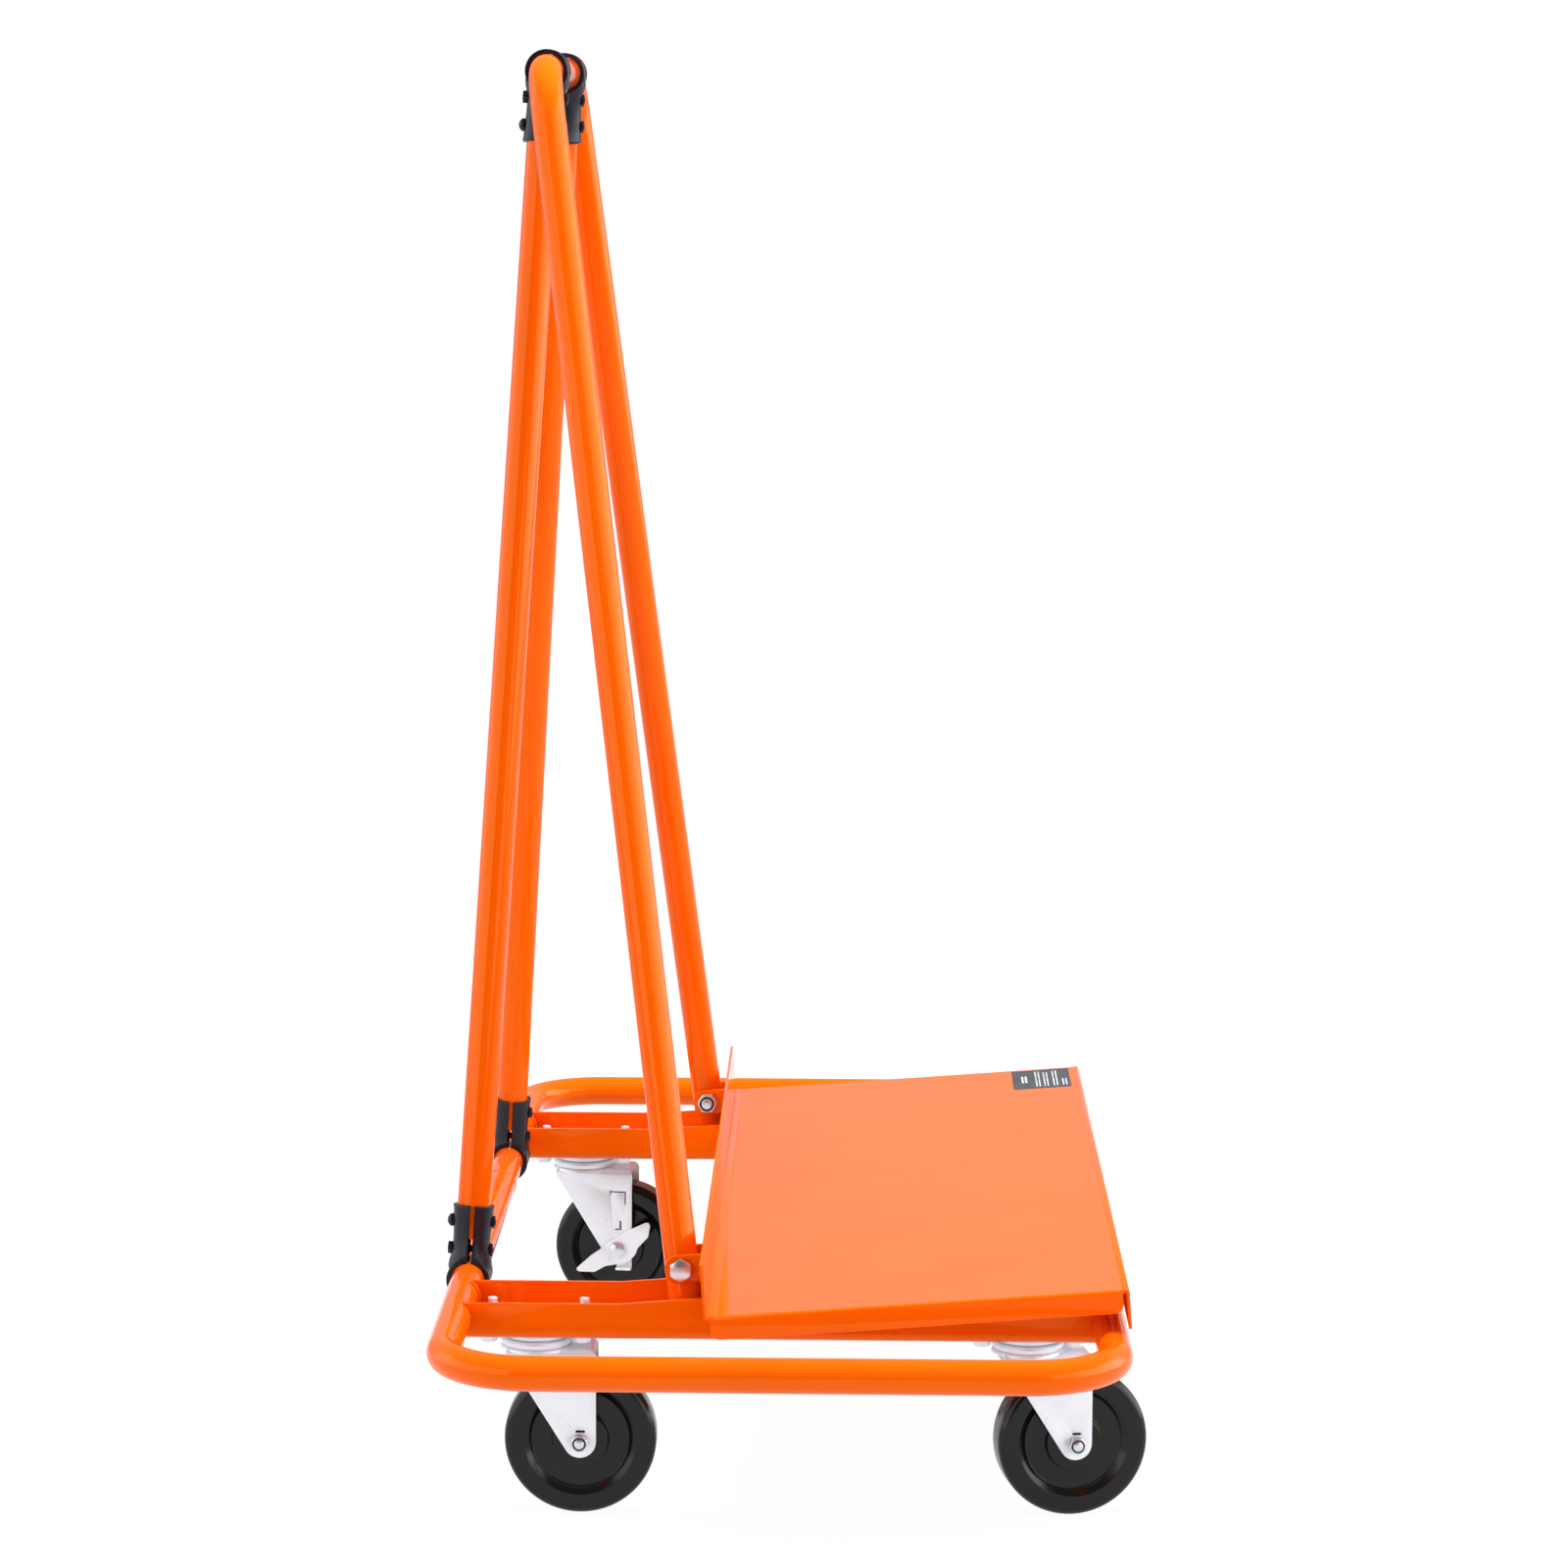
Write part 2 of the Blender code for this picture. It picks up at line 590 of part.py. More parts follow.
def back_leg_axis(end):
    return (Vector((-RING_X, end * BACK_LEG_FOOT_Y, RING_Z)),
            Vector((BAR_X, end * BACK_LEG_TOP_Y, BAR_Z)))


def clamp_frame(crossing, along):
    """Local Z up the leg, the crossing tube in the local YZ plane, X across the slot."""
    leg = along.normalized()
    tube = Vector((0, math.copysign(1.0, leg.y), 0))
    across = (tube - leg * leg.dot(tube)).normalized()
    normal = across.cross(leg)
    turn = Matrix((normal, across, leg)).transposed().to_4x4()
    return Matrix.Translation(crossing) @ turn


def clamp_places():
    """Name and frame of each of the four T-clamps."""
    places = []
    for name, end in (("front", -1), ("rear", 1)):
        foot, top = back_leg_axis(end)
        places.append((f"lower_{name}", clamp_frame(foot, top - foot)))
        places.append((f"upper_{name}", clamp_frame(top, foot - top)))
    return places


def make_back_leg(name, end):
    foot, top = back_leg_axis(end)
    along = (top - foot).normalized()
    leg = hollow_tube(name, [foot + along * LEG_END_REACH, top - along * LEG_END_REACH])
    half = Vector((2 * TUBE_R, 0, LEG_END_REACH)).length
    for label, frame in clamp_places():
        if not label.endswith("front" if end < 0 else "rear"):
            continue
        low = frame @ Vector((-half, 0, CLAMP_LEG_BOLT_REACH))
        high = frame @ Vector((half, 0, CLAMP_LEG_BOLT_REACH))
        cut(leg, bore(f"{name}_hole_{label}", CLAMP_BOLT_R + HOLE_CLEARANCE, low, high, BOLT_SIDES))
    return finish(leg, ORANGE)


def clamp_half_mesh(side):
    """One pressed half of a T-clamp: a half sleeve on the leg and a half collar on the tube."""
    foot, top = back_leg_axis(-1)
    lean = math.asin((top - foot).normalized().y)
    tube = Vector((0, math.cos(lean), math.sin(lean)))
    half = rod("clamp_sleeve", SLEEVE_R, (0, 0, 0), (0, 0, CLAMP_REACH), CLAMP_SIDES)
    join(half, rod("clamp_collar", COLLAR_R, -tube * CLAMP_COLLAR_WIDTH / 2,
                   tube * CLAMP_COLLAR_WIDTH / 2, CLAMP_SIDES))
    cut(half,
        bore("clamp_tube_bore", TUBE_R + GAP, -tube * CLAMP_REACH, tube * CLAMP_REACH, CLAMP_SIDES),
        bore("clamp_leg_bore", TUBE_R + GAP, (0, 0, TUBE_R / 4), (0, 0, 2 * CLAMP_REACH),
             CLAMP_SIDES))
    for reach in CLAMP_BOLT_REACHES:
        cut(half, bore(f"clamp_hole_{reach}", CLAMP_BOLT_R + HOLE_CLEARANCE,
                       (-CLAMP_REACH, 0, reach), (CLAMP_REACH, 0, reach), BOLT_SIDES))
    away = sorted((side * CLAMP_SLOT / 2, -side * CLAMP_REACH))
    cut(half, block("clamp_slot", (away[0], -CLAMP_REACH, -CLAMP_REACH),
                    (away[1], CLAMP_REACH, 2 * CLAMP_REACH)))
    return settled_mesh(half, "clamp_half")


def clamp_bolt_mesh(head_sides):
    """A clamp bolt along local X with its head at -X and its nut at +X."""
    face = SLEEVE_R + GAP
    bolt = rod("clamp_bolt", CLAMP_BOLT_R, (-face - CLAMP_HEAD_T / 2, 0, 0),
               (face + CLAMP_NUT_T + CLAMP_BOLT_TAIL, 0, 0), BOLT_SIDES)
    join(bolt,
         rod("clamp_head", CLAMP_HEAD_R, (-face - CLAMP_HEAD_T, 0, 0), (-face, 0, 0), head_sides),
         rod("clamp_nut", CLAMP_HEAD_R, (face, 0, 0), (face + CLAMP_NUT_T, 0, 0), 6))
    return settled_mesh(bolt, "clamp_bolt")


def make_clamps():
    halves = {side: clamp_half_mesh(side) for side in (-1, 1)}
    bolts = (clamp_bolt_mesh(4), clamp_bolt_mesh(BOLT_SIDES))
    for name, frame in clamp_places():
        load_side = 1 if frame.col[0].x > 0 else -1
        for side, mesh in halves.items():
            label = "load" if side == load_side else "back"
            finish(place(f"clamp_{name}_{label}", mesh, frame), BLACK_STEEL)
        head_back = Matrix.Rotation(0.0 if load_side > 0 else math.pi, 4, "Z")
        for label, reach, mesh in zip(("tube", "leg"), CLAMP_BOLT_REACHES, bolts):
            at_reach = Matrix.Translation((0, 0, reach))
            bolt = place(f"clamp_bolt_{name}_{label}", mesh, frame @ at_reach @ head_back)
            finish(bolt, BLACK_STEEL)


# --------------------------------------------------------------- the casters

def plate_bolt_places():
    return [(x, y) for x in (-PLATE_BOLT_X, PLATE_BOLT_X) for y in (-PLATE_BOLT_Y, PLATE_BOLT_Y)]


def caster_plate_mesh():
    """The top plate with its upper ball race, and the four bolts that hold it on."""
    corner = [(-PLATE_LENGTH / 2, -PLATE_WIDTH / 2), (PLATE_LENGTH / 2, -PLATE_WIDTH / 2),
              (PLATE_LENGTH / 2, PLATE_WIDTH / 2), (-PLATE_LENGTH / 2, PLATE_WIDTH / 2)]
    outline = rounded_path(corner, PLATE_CORNER_R, True, FOLD_STEPS)
    middle = Matrix.Translation((0, 0, PLATE_TOP_Z - PLATE_GAUGE / 2))
    plate = extruded("plate", [outline], PLATE_GAUGE, middle)
    top_z = PLATE_BOTTOM_Z + PLATE_GAUGE / 2
    join(plate, rod("upper_race", RACE_TOP_R, (0, 0, RACE_TOP_BOTTOM_Z), (0, 0, top_z),
                    RACE_STEPS))
    cut(plate, bore("kingpin_bore", KINGPIN_R + GAP, (0, 0, RACE_TOP_BOTTOM_Z - PLATE_GAUGE),
                    (0, 0, PLATE_TOP_Z + PLATE_GAUGE), RACE_STEPS))
    nut_z = CHANNEL_FLOOR_Z + GAP
    tail_z = nut_z + PLATE_NUT_T + PLATE_BOLT_TAIL
    for x, y in plate_bolt_places():
        join(plate,
             rod("plate_shank", PLATE_BOLT_R, (x, y, top_z), (x, y, tail_z), SHANK_SIDES),
             rod("plate_head", PLATE_HEX_R, (x, y, PLATE_BOTTOM_Z - PLATE_HEAD_T),
                 (x, y, top_z), 6),
             rod("plate_nut", PLATE_HEX_R, (x, y, nut_z), (x, y, nut_z + PLATE_NUT_T), 6))
    return settled_mesh(plate, "caster_plate")


def kingpin_mesh():
    under_z = FORK_TOP_Z - FORK_GAUGE - GAP
    low_z = under_z - KINGPIN_HEAD_T
    crown_r = KINGPIN_HEAD_R - KINGPIN_HEAD_T
    profile = [(0, PLATE_TOP_Z), (KINGPIN_R, PLATE_TOP_Z), (KINGPIN_R, under_z),
               (KINGPIN_HEAD_R, under_z), (KINGPIN_HEAD_R, (under_z + low_z) / 2),
               (crown_r, low_z), (0, low_z)]
    return settled_mesh(turned("kingpin", profile, RACE_STEPS), "kingpin")


def race_mesh():
    low_z = RACE_UPPER_Z - RACE_T
    inner = KINGPIN_R + 2 * GAP
    rim = RACE_R - RACE_CHAMFER
    profile = [(inner, RACE_UPPER_Z), (rim, RACE_UPPER_Z), (RACE_R, RACE_UPPER_Z - RACE_CHAMFER),
               (RACE_R, low_z + RACE_CHAMFER), (rim, low_z), (inner, low_z)]
    return settled_mesh(turned("swivel_race", profile, RACE_STEPS), "swivel_race")


def fork_outline():
    """Side view of the fork: a leg that narrows from the swivel to a round end at the axle."""
    shoulder = Vector((FORK_BACK_X, FORK_TOP_Z - FORK_SHOULDER))
    to_axle = Vector((TRAIL, WHEEL_R)) - shoulder
    dip = math.asin(FORK_END_R / to_axle.length) - math.atan2(to_axle.y, to_axle.x)
    corner_z = shoulder.y - (FORK_FRONT_X - shoulder.x) * math.tan(dip)
    return rounded_path([(FORK_BACK_X, FORK_TOP_Z), shoulder, (FORK_FRONT_X, corner_z),
                         (FORK_FRONT_X, FORK_TOP_Z)], [0, 0, FORK_END_R, 0], True, FORK_END_STEPS)


def fork_mesh(has_brake):
    fork = extruded("fork", [fork_outline()], 2 * FORK_OUTER_HALF, UPRIGHT)
    under_z = FORK_TOP_Z - FORK_GAUGE
    cut(fork, block("fork_throat", (-WHEEL_R, -FORK_INNER_HALF, -WHEEL_R),
                    (2 * WHEEL_R, FORK_INNER_HALF, under_z)))
    join(fork, rod("fork_dish", RACE_R, (0, 0, under_z), (0, 0, FORK_TOP_Z), RACE_STEPS))
    across = Vector((0, 2 * FORK_OUTER_HALF, 0))
    axle = Vector((TRAIL, 0, WHEEL_R))
    cut(fork,
        bore("fork_kingpin_hole", KINGPIN_R + 2 * GAP, (0, 0, under_z - FORK_GAUGE),
             (0, 0, PLATE_TOP_Z), RACE_STEPS),
        bore("fork_axle_hole", AXLE_R + HOLE_CLEARANCE, axle - across, axle + across, BOLT_SIDES))
    if has_brake:
        near_x = TRAIL - STOP_TAB_BACK
        far_x = TRAIL + FORK_END_R
        tab_z = WHEEL_R - STOP_TAB_DROP
        neck_z = WHEEL_R - FORK_END_R / 2
        join(fork,
             block("stop_tab", (near_x, -FORK_OUTER_HALF - STOP_TAB_REACH, tab_z),
                   (far_x, -FORK_INNER_HALF, tab_z + LEVER_GAUGE)),
             block("stop_neck", (near_x, -FORK_OUTER_HALF, tab_z),
                   (far_x, -FORK_INNER_HALF, neck_z)))
    return settled_mesh(fork, "fork")


def wheel_mesh():
    """A solid wheel with a sunk disc on each side; one flat facet of its tread faces the floor."""
    half_facet = math.pi / WHEEL_STEPS
    tread_r = WHEEL_R / math.cos(half_facet)
    half = WHEEL_TREAD_WIDTH / 2
    hub = WHEEL_HUB_WIDTH / 2
    disc = half - WHEEL_DISC_DEPTH
    inner = BUSHING_R + GAP
    centre_r = tread_r - WHEEL_SHOULDER_R
    centre_z = half - WHEEL_SHOULDER_R
    shoulder = [(centre_r + WHEEL_SHOULDER_R * math.cos(a), centre_z + WHEEL_SHOULDER_R * math.sin(a))
                for a in WHEEL_SHOULDER_ANGLES]
    upper = [(inner, hub), (WHEEL_HUB_R, hub), (WHEEL_HUB_R, disc), (WHEEL_DISC_R, disc),
             (WHEEL_RIM_R, half), *shoulder]
    profile = upper + [(r, -z) for r, z in reversed(upper)]
    flat_down = Matrix.Rotation(half_facet, 4, "Z")
    return settled_mesh(turned("wheel", profile, WHEEL_STEPS, flat_down), "wheel")


def bushing_mesh():
    half = FORK_INNER_HALF - GAP
    inner = AXLE_R + GAP
    profile = [(inner, half), (BUSHING_R, half), (BUSHING_R, -half), (inner, -half)]
    return settled_mesh(turned("bushing", profile, RACE_STEPS), "bushing")


def axle_mesh(has_brake):
    """The axle bolt along local Z; its head is on the brake's side, or on the far side without one."""
    near = 1 if has_brake else -1
    lever_room = LEVER_GAUGE + LEVER_CLEARANCE if has_brake else 0.0
    head_face = FORK_OUTER_HALF + GAP + lever_room
    nut_face = FORK_OUTER_HALF + GAP
    head_end = near * (head_face + AXLE_HEAD_T)
    nut_end = -near * (nut_face + AXLE_NUT_T)
    axle = rod("axle", AXLE_R, (0, 0, near * (head_face + AXLE_HEAD_T / 2)),
               (0, 0, nut_end - near * AXLE_TAIL), BOLT_SIDES)
    join(axle,
         rod("axle_head", AXLE_HEX_R, (0, 0, near * head_face), (0, 0, head_end), 6),
         rod("axle_nut", AXLE_HEX_R, (0, 0, nut_end), (0, 0, -near * nut_face), 6))
    return settled_mesh(axle, "axle")


def brake_lever_mesh():
    """A side lever around the axle: a cam wing, a round middle and a pedal bent outward."""
    wing = [Vector((x, y, 0)) * MM for x, y, _ in LEVER_WING]
    pedal = [Vector((x, y, 0)) * MM for x, y, _ in LEVER_PEDAL]
    wing_path = rounded_path(wing, [r * MM for _, _, r in LEVER_WING], True, LEVER_STEPS)
    pedal_path = rounded_path(pedal, [r * MM for _, _, r in LEVER_PEDAL], True, LEVER_STEPS)
    lever = extruded("brake_lever", [wing_path], LEVER_GAUGE)
    hinge = wing[0]
    fold = (wing[-1] - hinge).normalized()
    bend = (Matrix.Translation(hinge) @ Matrix.Rotation(-LEVER_PEDAL_TILT, 4, fold)
            @ Matrix.Translation(-hinge))
    join(lever, extruded("brake_pedal", [pedal_path], LEVER_GAUGE, bend))
    cut(lever, bore("lever_hole", LEVER_HOLE_R, (0, 0, -WHEEL_R), (0, 0, WHEEL_R), BOLT_SIDES))
    return settled_mesh(lever, "brake_lever")


def make_casters():
    plate = caster_plate_mesh()
    kingpin = kingpin_mesh()
    race = race_mesh()
    forks = {brake: fork_mesh(brake) for brake in (False, True)}
    axles = {brake: axle_mesh(brake) for brake in (False, True)}
    wheel = wheel_mesh()
    bushing = bushing_mesh()
    lever = brake_lever_mesh()
    for name, end, side, heading, has_brake in CASTERS:
        spot = Vector((side * SWIVEL_X, end * CHANNEL_Y, 0))
        on_frame = Matrix.Translation(spot)
        on_swivel = on_frame @ Matrix.Rotation(heading, 4, "Z")
        finish(place(f"caster_plate_{name}", plate, on_frame), ZINC)
        finish(place(f"kingpin_{name}", kingpin, on_frame), ZINC)
        swivel = bpy.data.objects.new(f"swivel_axis_{name}", None)
        PARTS.objects.link(swivel)
        swivel.matrix_world = on_swivel
        bpy.context.view_layer.update()
        swivel.parent = CART
        on_axle = on_swivel @ Matrix.Translation((TRAIL, 0, WHEEL_R)) @ UPRIGHT
        finish(place(f"swivel_race_{name}", race, on_swivel), ZINC, swivel)
        finish(place(f"fork_{name}", forks[has_brake], on_swivel), ZINC, swivel)
        finish(place(f"axle_bolt_{name}", axles[has_brake], on_axle), ZINC, swivel)
        finish(place(f"axle_bushing_{name}", bushing, on_axle), BUSH_NYLON, swivel)
        finish(place(f"wheel_{name}", wheel, on_axle), WHEEL_BLACK, swivel)
        if has_brake:
            lever_z = FORK_OUTER_HALF + LEVER_CLEARANCE + LEVER_GAUGE / 2
            on_lever = on_axle @ Matrix.Translation((0, 0, lever_z))
            finish(place(f"brake_lever_{name}", lever, on_lever), ZINC, swivel)


def centre_footprint():
    """Move the cart so that its bounding box is centred over the origin."""
    bpy.context.view_layer.update()
    depsgraph = bpy.context.evaluated_depsgraph_get()
    xs = []
    for obj in PARTS.objects:
        if obj.type == "MESH":
            solid = obj.evaluated_get(depsgraph)
            xs.extend((solid.matrix_world @ Vector(corner)).x for corner in solid.bound_box)
    CART.location.x = -(min(xs) + max(xs)) / 2
    bpy.context.view_layer.update()


def main():
    make_base_ring()
    for name, end in (("front", -1), ("rear", 1)):
        make_channel(f"cross_channel_{name}", end)
        make_leg_bracket(f"leg_bracket_{name}", end)
        make_hoop_fastener(name, end)
        make_back_leg(f"back_leg_{name}", end)
    make_deck()
    make_hoop()
    make_clamps()
    make_casters()
    centre_footprint()


main()
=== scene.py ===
import json
import math

import bmesh
import bpy
import numpy as np
from mathutils import Matrix, Vector


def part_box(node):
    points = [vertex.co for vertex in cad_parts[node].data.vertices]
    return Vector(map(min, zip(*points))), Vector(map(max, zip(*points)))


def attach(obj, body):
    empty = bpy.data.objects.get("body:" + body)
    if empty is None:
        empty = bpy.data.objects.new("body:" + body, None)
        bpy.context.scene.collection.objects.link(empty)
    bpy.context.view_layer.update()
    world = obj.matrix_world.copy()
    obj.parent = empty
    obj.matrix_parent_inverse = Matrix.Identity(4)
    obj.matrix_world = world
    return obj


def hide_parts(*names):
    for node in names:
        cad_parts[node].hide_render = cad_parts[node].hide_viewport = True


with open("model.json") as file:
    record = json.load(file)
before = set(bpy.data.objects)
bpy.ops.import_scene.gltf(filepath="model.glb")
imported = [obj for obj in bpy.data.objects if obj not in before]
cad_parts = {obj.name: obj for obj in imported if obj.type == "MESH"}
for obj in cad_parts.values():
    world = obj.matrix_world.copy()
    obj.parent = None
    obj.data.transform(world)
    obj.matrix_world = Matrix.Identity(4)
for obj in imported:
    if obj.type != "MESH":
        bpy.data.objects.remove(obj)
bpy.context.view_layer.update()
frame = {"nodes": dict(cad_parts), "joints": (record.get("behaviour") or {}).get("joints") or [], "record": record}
JOINTS = {j["name"]: j for j in frame["joints"]}
SLOT_OF = {s["node"]: s["material_slot"] for s in frame["record"]["subparts"]}

MM = 0.001
SHARP = math.radians(32.0)
Z_AXIS = Vector((0, 0, 1))
UPRIGHT = Matrix.Rotation(math.radians(90.0), 4, "X")       # local Y up, local Z along -Y
UPSIDE_DOWN = Matrix.Rotation(math.pi, 4, "X")
QUARTER_TURN = Matrix.Rotation(math.radians(90), 4, "Z")
ALONG_X = Matrix(((0, 0, 1, 0), (1, 0, 0, 0), (0, 1, 0, 0), (0, 0, 0, 1)))

# Sizes shared with the CAD part, in metres
TUBE_R = 14.0 * MM
TUBE_WALL = 1.5 * MM
RING_CORNER_R = 72.0 * MM
HOOP_BEND_R = 48.0 * MM
CHANNEL_GAUGE = 3.0 * MM
CHANNEL_WIDTH = 75.0 * MM
CHANNEL_Y = 348.0 * MM
CHANNEL_END_IN_TUBE = 8.4 * MM
DECK_SLOPE = math.radians(4.4)
DECK_GAUGE = 2.5 * MM
DECK_UPSTAND = 43.0 * MM
DECK_END_FLANGE = 19.0 * MM
DECK_LOAD_FLANGE = 32.0 * MM
DECK_FOLD_R = 2.9 * MM
DECK_LENGTH = 930.0 * MM
DECK_WIDTH = 337.5 * MM
HOOP_BOLT_U = -22.9 * MM            # along the deck's slope, from its fold
HOOP_BOLT_W = 16.9 * MM             # above the deck, square to it
HOOP_BOLT_Y = 344.0 * MM
HOOP_BOLT_R = 5.0 * MM
BRACKET_HALF = 20.0 * MM
BRACKET_GAUGE = 3.0 * MM
LEG_FOOT_Y = 235.0 * MM
LEG_TOP_Y = 122.0 * MM
LEG_END_GAP = 32.0 * MM             # tube end to the crossing of the centre lines
CLAMP_BOLT_R = 3.0 * MM
CLAMP_BOLT_REACH = {"tube": 22.5 * MM, "leg": 46.0 * MM}
WHEEL_R = 62.5 * MM
TRAIL = 36.3 * MM
PLATE_BOLT_X = 38.0 * MM
PLATE_BOLT_Y = 22.5 * MM
PLATE_BOLT_R = 4.0 * MM
PLATE_BOTTOM_Z = 152.2 * MM
PLATE_TOP_Z = 155.2 * MM
KINGPIN_R = 6.0 * MM
CROWN_Z = 140.1 * MM
FORK_GAUGE = 3.0 * MM
FORK_INNER = 20.0 * MM
FORK_OUTER = 23.0 * MM
FORK_END_R = 13.3 * MM
AXLE_R = 4.0 * MM
CUT = 60.0 * MM                     # half length of a cutter that goes right through

RING_LOW, RING_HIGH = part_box("base_ring")
CX = (RING_LOW.x + RING_HIGH.x) / 2
RING_X = (RING_HIGH.x - RING_LOW.x) / 2 - TUBE_R
RING_Y = (RING_HIGH.y - RING_LOW.y) / 2 - TUBE_R
RING_Z = 169.0 * MM
DECK_ORIGIN = Vector((CX - 58.8 * MM, 0.0, 191.0 * MM))
DECK_U = Vector((math.cos(DECK_SLOPE), 0.0, math.sin(DECK_SLOPE)))
DECK_W = Vector((-math.sin(DECK_SLOPE), 0.0, math.cos(DECK_SLOPE)))


# ------------------------------------------------------------------- camera

CAMERA_LENS = 112.548
CAMERA_SENSOR = 36.0
CAMERA_NEAR = 0.05
CAMERA_FAR = 60.0
CAMERA_YAW = 0.0154
CAMERA_PITCH = 0.1347
CAMERA_ROLL = 0.0053
CAMERA_PLACE = Vector((CX + 59.53 * MM, -4274.72 * MM, 1136.76 * MM))


def make_camera():
    data = bpy.data.cameras.new("camera")
    data.lens = CAMERA_LENS
    data.sensor_width = CAMERA_SENSOR
    data.clip_start = CAMERA_NEAR
    data.clip_end = CAMERA_FAR
    camera = bpy.data.objects.new("camera", data)
    bpy.context.scene.collection.objects.link(camera)
    ahead = Vector((-math.sin(CAMERA_YAW) * math.cos(CAMERA_PITCH),
                    math.cos(CAMERA_YAW) * math.cos(CAMERA_PITCH), -math.sin(CAMERA_PITCH)))
    level = Vector((math.cos(CAMERA_YAW), math.sin(CAMERA_YAW), 0.0))
    upright = level.cross(ahead)
    right = level * math.cos(CAMERA_ROLL) + upright * math.sin(CAMERA_ROLL)
    up = upright * math.cos(CAMERA_ROLL) - level * math.sin(CAMERA_ROLL)
    turn = Matrix((right, up, -ahead)).transposed().to_4x4()
    camera.matrix_world = Matrix.Translation(CAMERA_PLACE) @ turn
    bpy.context.scene.camera = camera


make_camera()


# ---------------------------------------------------------------- materials

def mix_colour(tree, factor, low, high):
    """Goes from low to high with the factor; each is an RGB tuple or a socket."""
    node = tree.nodes.new("ShaderNodeMix")
    node.data_type = "RGBA"
    tree.links.new(factor, node.inputs[0])
    for socket, value in ((node.inputs[6], low), (node.inputs[7], high)):
        if isinstance(value, tuple):
            socket.default_value = (*value, 1.0)
        else:
            tree.links.new(value, socket)
    return node.outputs[2]


def noise(tree, coords, scale, detail=3.0, roughness=0.5, stretch=(1, 1, 1)):
    mapping = tree.nodes.new("ShaderNodeMapping")
    mapping.inputs["Scale"].default_value = stretch
    tree.links.new(coords, mapping.inputs["Vector"])
    node = tree.nodes.new("ShaderNodeTexNoise")
    node.inputs["Scale"].default_value = scale
    node.inputs["Detail"].default_value = detail
    node.inputs["Roughness"].default_value = roughness
    tree.links.new(mapping.outputs["Vector"], node.inputs["Vector"])
    return node.outputs["Fac"]


def ramp(tree, value, low, high, out_low=0.0, out_high=1.0):
    node = tree.nodes.new("ShaderNodeMapRange")
    node.inputs["From Min"].default_value = low
    node.inputs["From Max"].default_value = high
    node.inputs["To Min"].default_value = out_low
    node.inputs["To Max"].default_value = out_high
    tree.links.new(value, node.inputs["Value"])
    return node.outputs["Result"]


def bump(tree, height, strength, distance, under=None):
    node = tree.nodes.new("ShaderNodeBump")
    node.inputs["Strength"].default_value = strength
    node.inputs["Distance"].default_value = distance
    tree.links.new(height, node.inputs["Height"])
    if under is not None:
        tree.links.new(under, node.inputs["Normal"])
    return node.outputs["Normal"]


def new_material(name, **sockets):
    material = bpy.data.materials.new(name)
    material.use_nodes = True
    tree = material.node_tree
    shader = tree.nodes["Principled BSDF"]
    for socket, value in sockets.items():
        shader.inputs[socket.replace("_", " ")].default_value = value
    coords = tree.nodes.new("ShaderNodeTexCoord").outputs["Object"]
    return material, tree, shader, coords


def powder_coat(name, low, high, roughness, peel, ior, tint=(1.0, 1.0, 1.0)):
    """Stoved powder coat: faint cloudiness, fine orange peel, dust specks and rubbed streaks."""
    material, tree, shader, coords = new_material(name, IOR=ior, Specular_Tint=(*tint, 1.0))
    cloud = noise(tree, coords, 9.0, 4.0)
    grain = noise(tree, coords, 900.0, 2.0)
    colour = mix_colour(tree, ramp(tree, cloud, 0.3, 0.7), low, high)
    speck = ramp(tree, grain, 0.72, 0.82, 0.0, 0.10)
    colour = mix_colour(tree, speck, colour, tuple(0.6 * c for c in low))
    tree.links.new(colour, shader.inputs["Base Color"])
    rub = noise(tree, coords, 7.0, 5.0, 0.5, (1.0, 2.0, 1.5))
    gloss = ramp(tree, rub, 0.3, 0.75, roughness * 0.92, roughness * 1.12)
    tree.links.new(gloss, shader.inputs["Roughness"])
    skin = bump(tree, noise(tree, coords, 420.0, 2.0, 0.4), peel, 0.00022)
    waves = bump(tree, noise(tree, coords, 38.0, 1.0, 0.4), peel * 0.35, 0.0010, skin)
    tree.links.new(waves, shader.inputs["Normal"])
    return material


def plated(name, low, high, roughness, brush, metallic):
    """Zinc plate: cloudy passivation with faint yellow patches, a grain in the gloss and soft dents."""
    material, tree, shader, coords = new_material(name, Metallic=metallic)
    cloud = noise(tree, coords, 60.0, 5.0, 0.65)
    tint = noise(tree, coords, 16.0, 3.0)
    colour = mix_colour(tree, ramp(tree, cloud, 0.3, 0.7), low, high)
    colour = mix_colour(tree, ramp(tree, tint, 0.58, 0.78, 0.0, 0.07), colour, (0.80, 0.76, 0.66))
    tree.links.new(colour, shader.inputs["Base Color"])
    grain = noise(tree, coords, 260.0, 4.0, 0.6, brush)
    gloss = ramp(tree, grain, 0.3, 0.7, roughness * 0.9, roughness * 1.15)
    tree.links.new(gloss, shader.inputs["Roughness"])
    fine = bump(tree, grain, 0.001, 0.0001)
    dents = bump(tree, noise(tree, coords, 22.0, 1.0, 0.4), 0.012, 0.0008, fine)
    tree.links.new(dents, shader.inputs["Normal"])
    return material


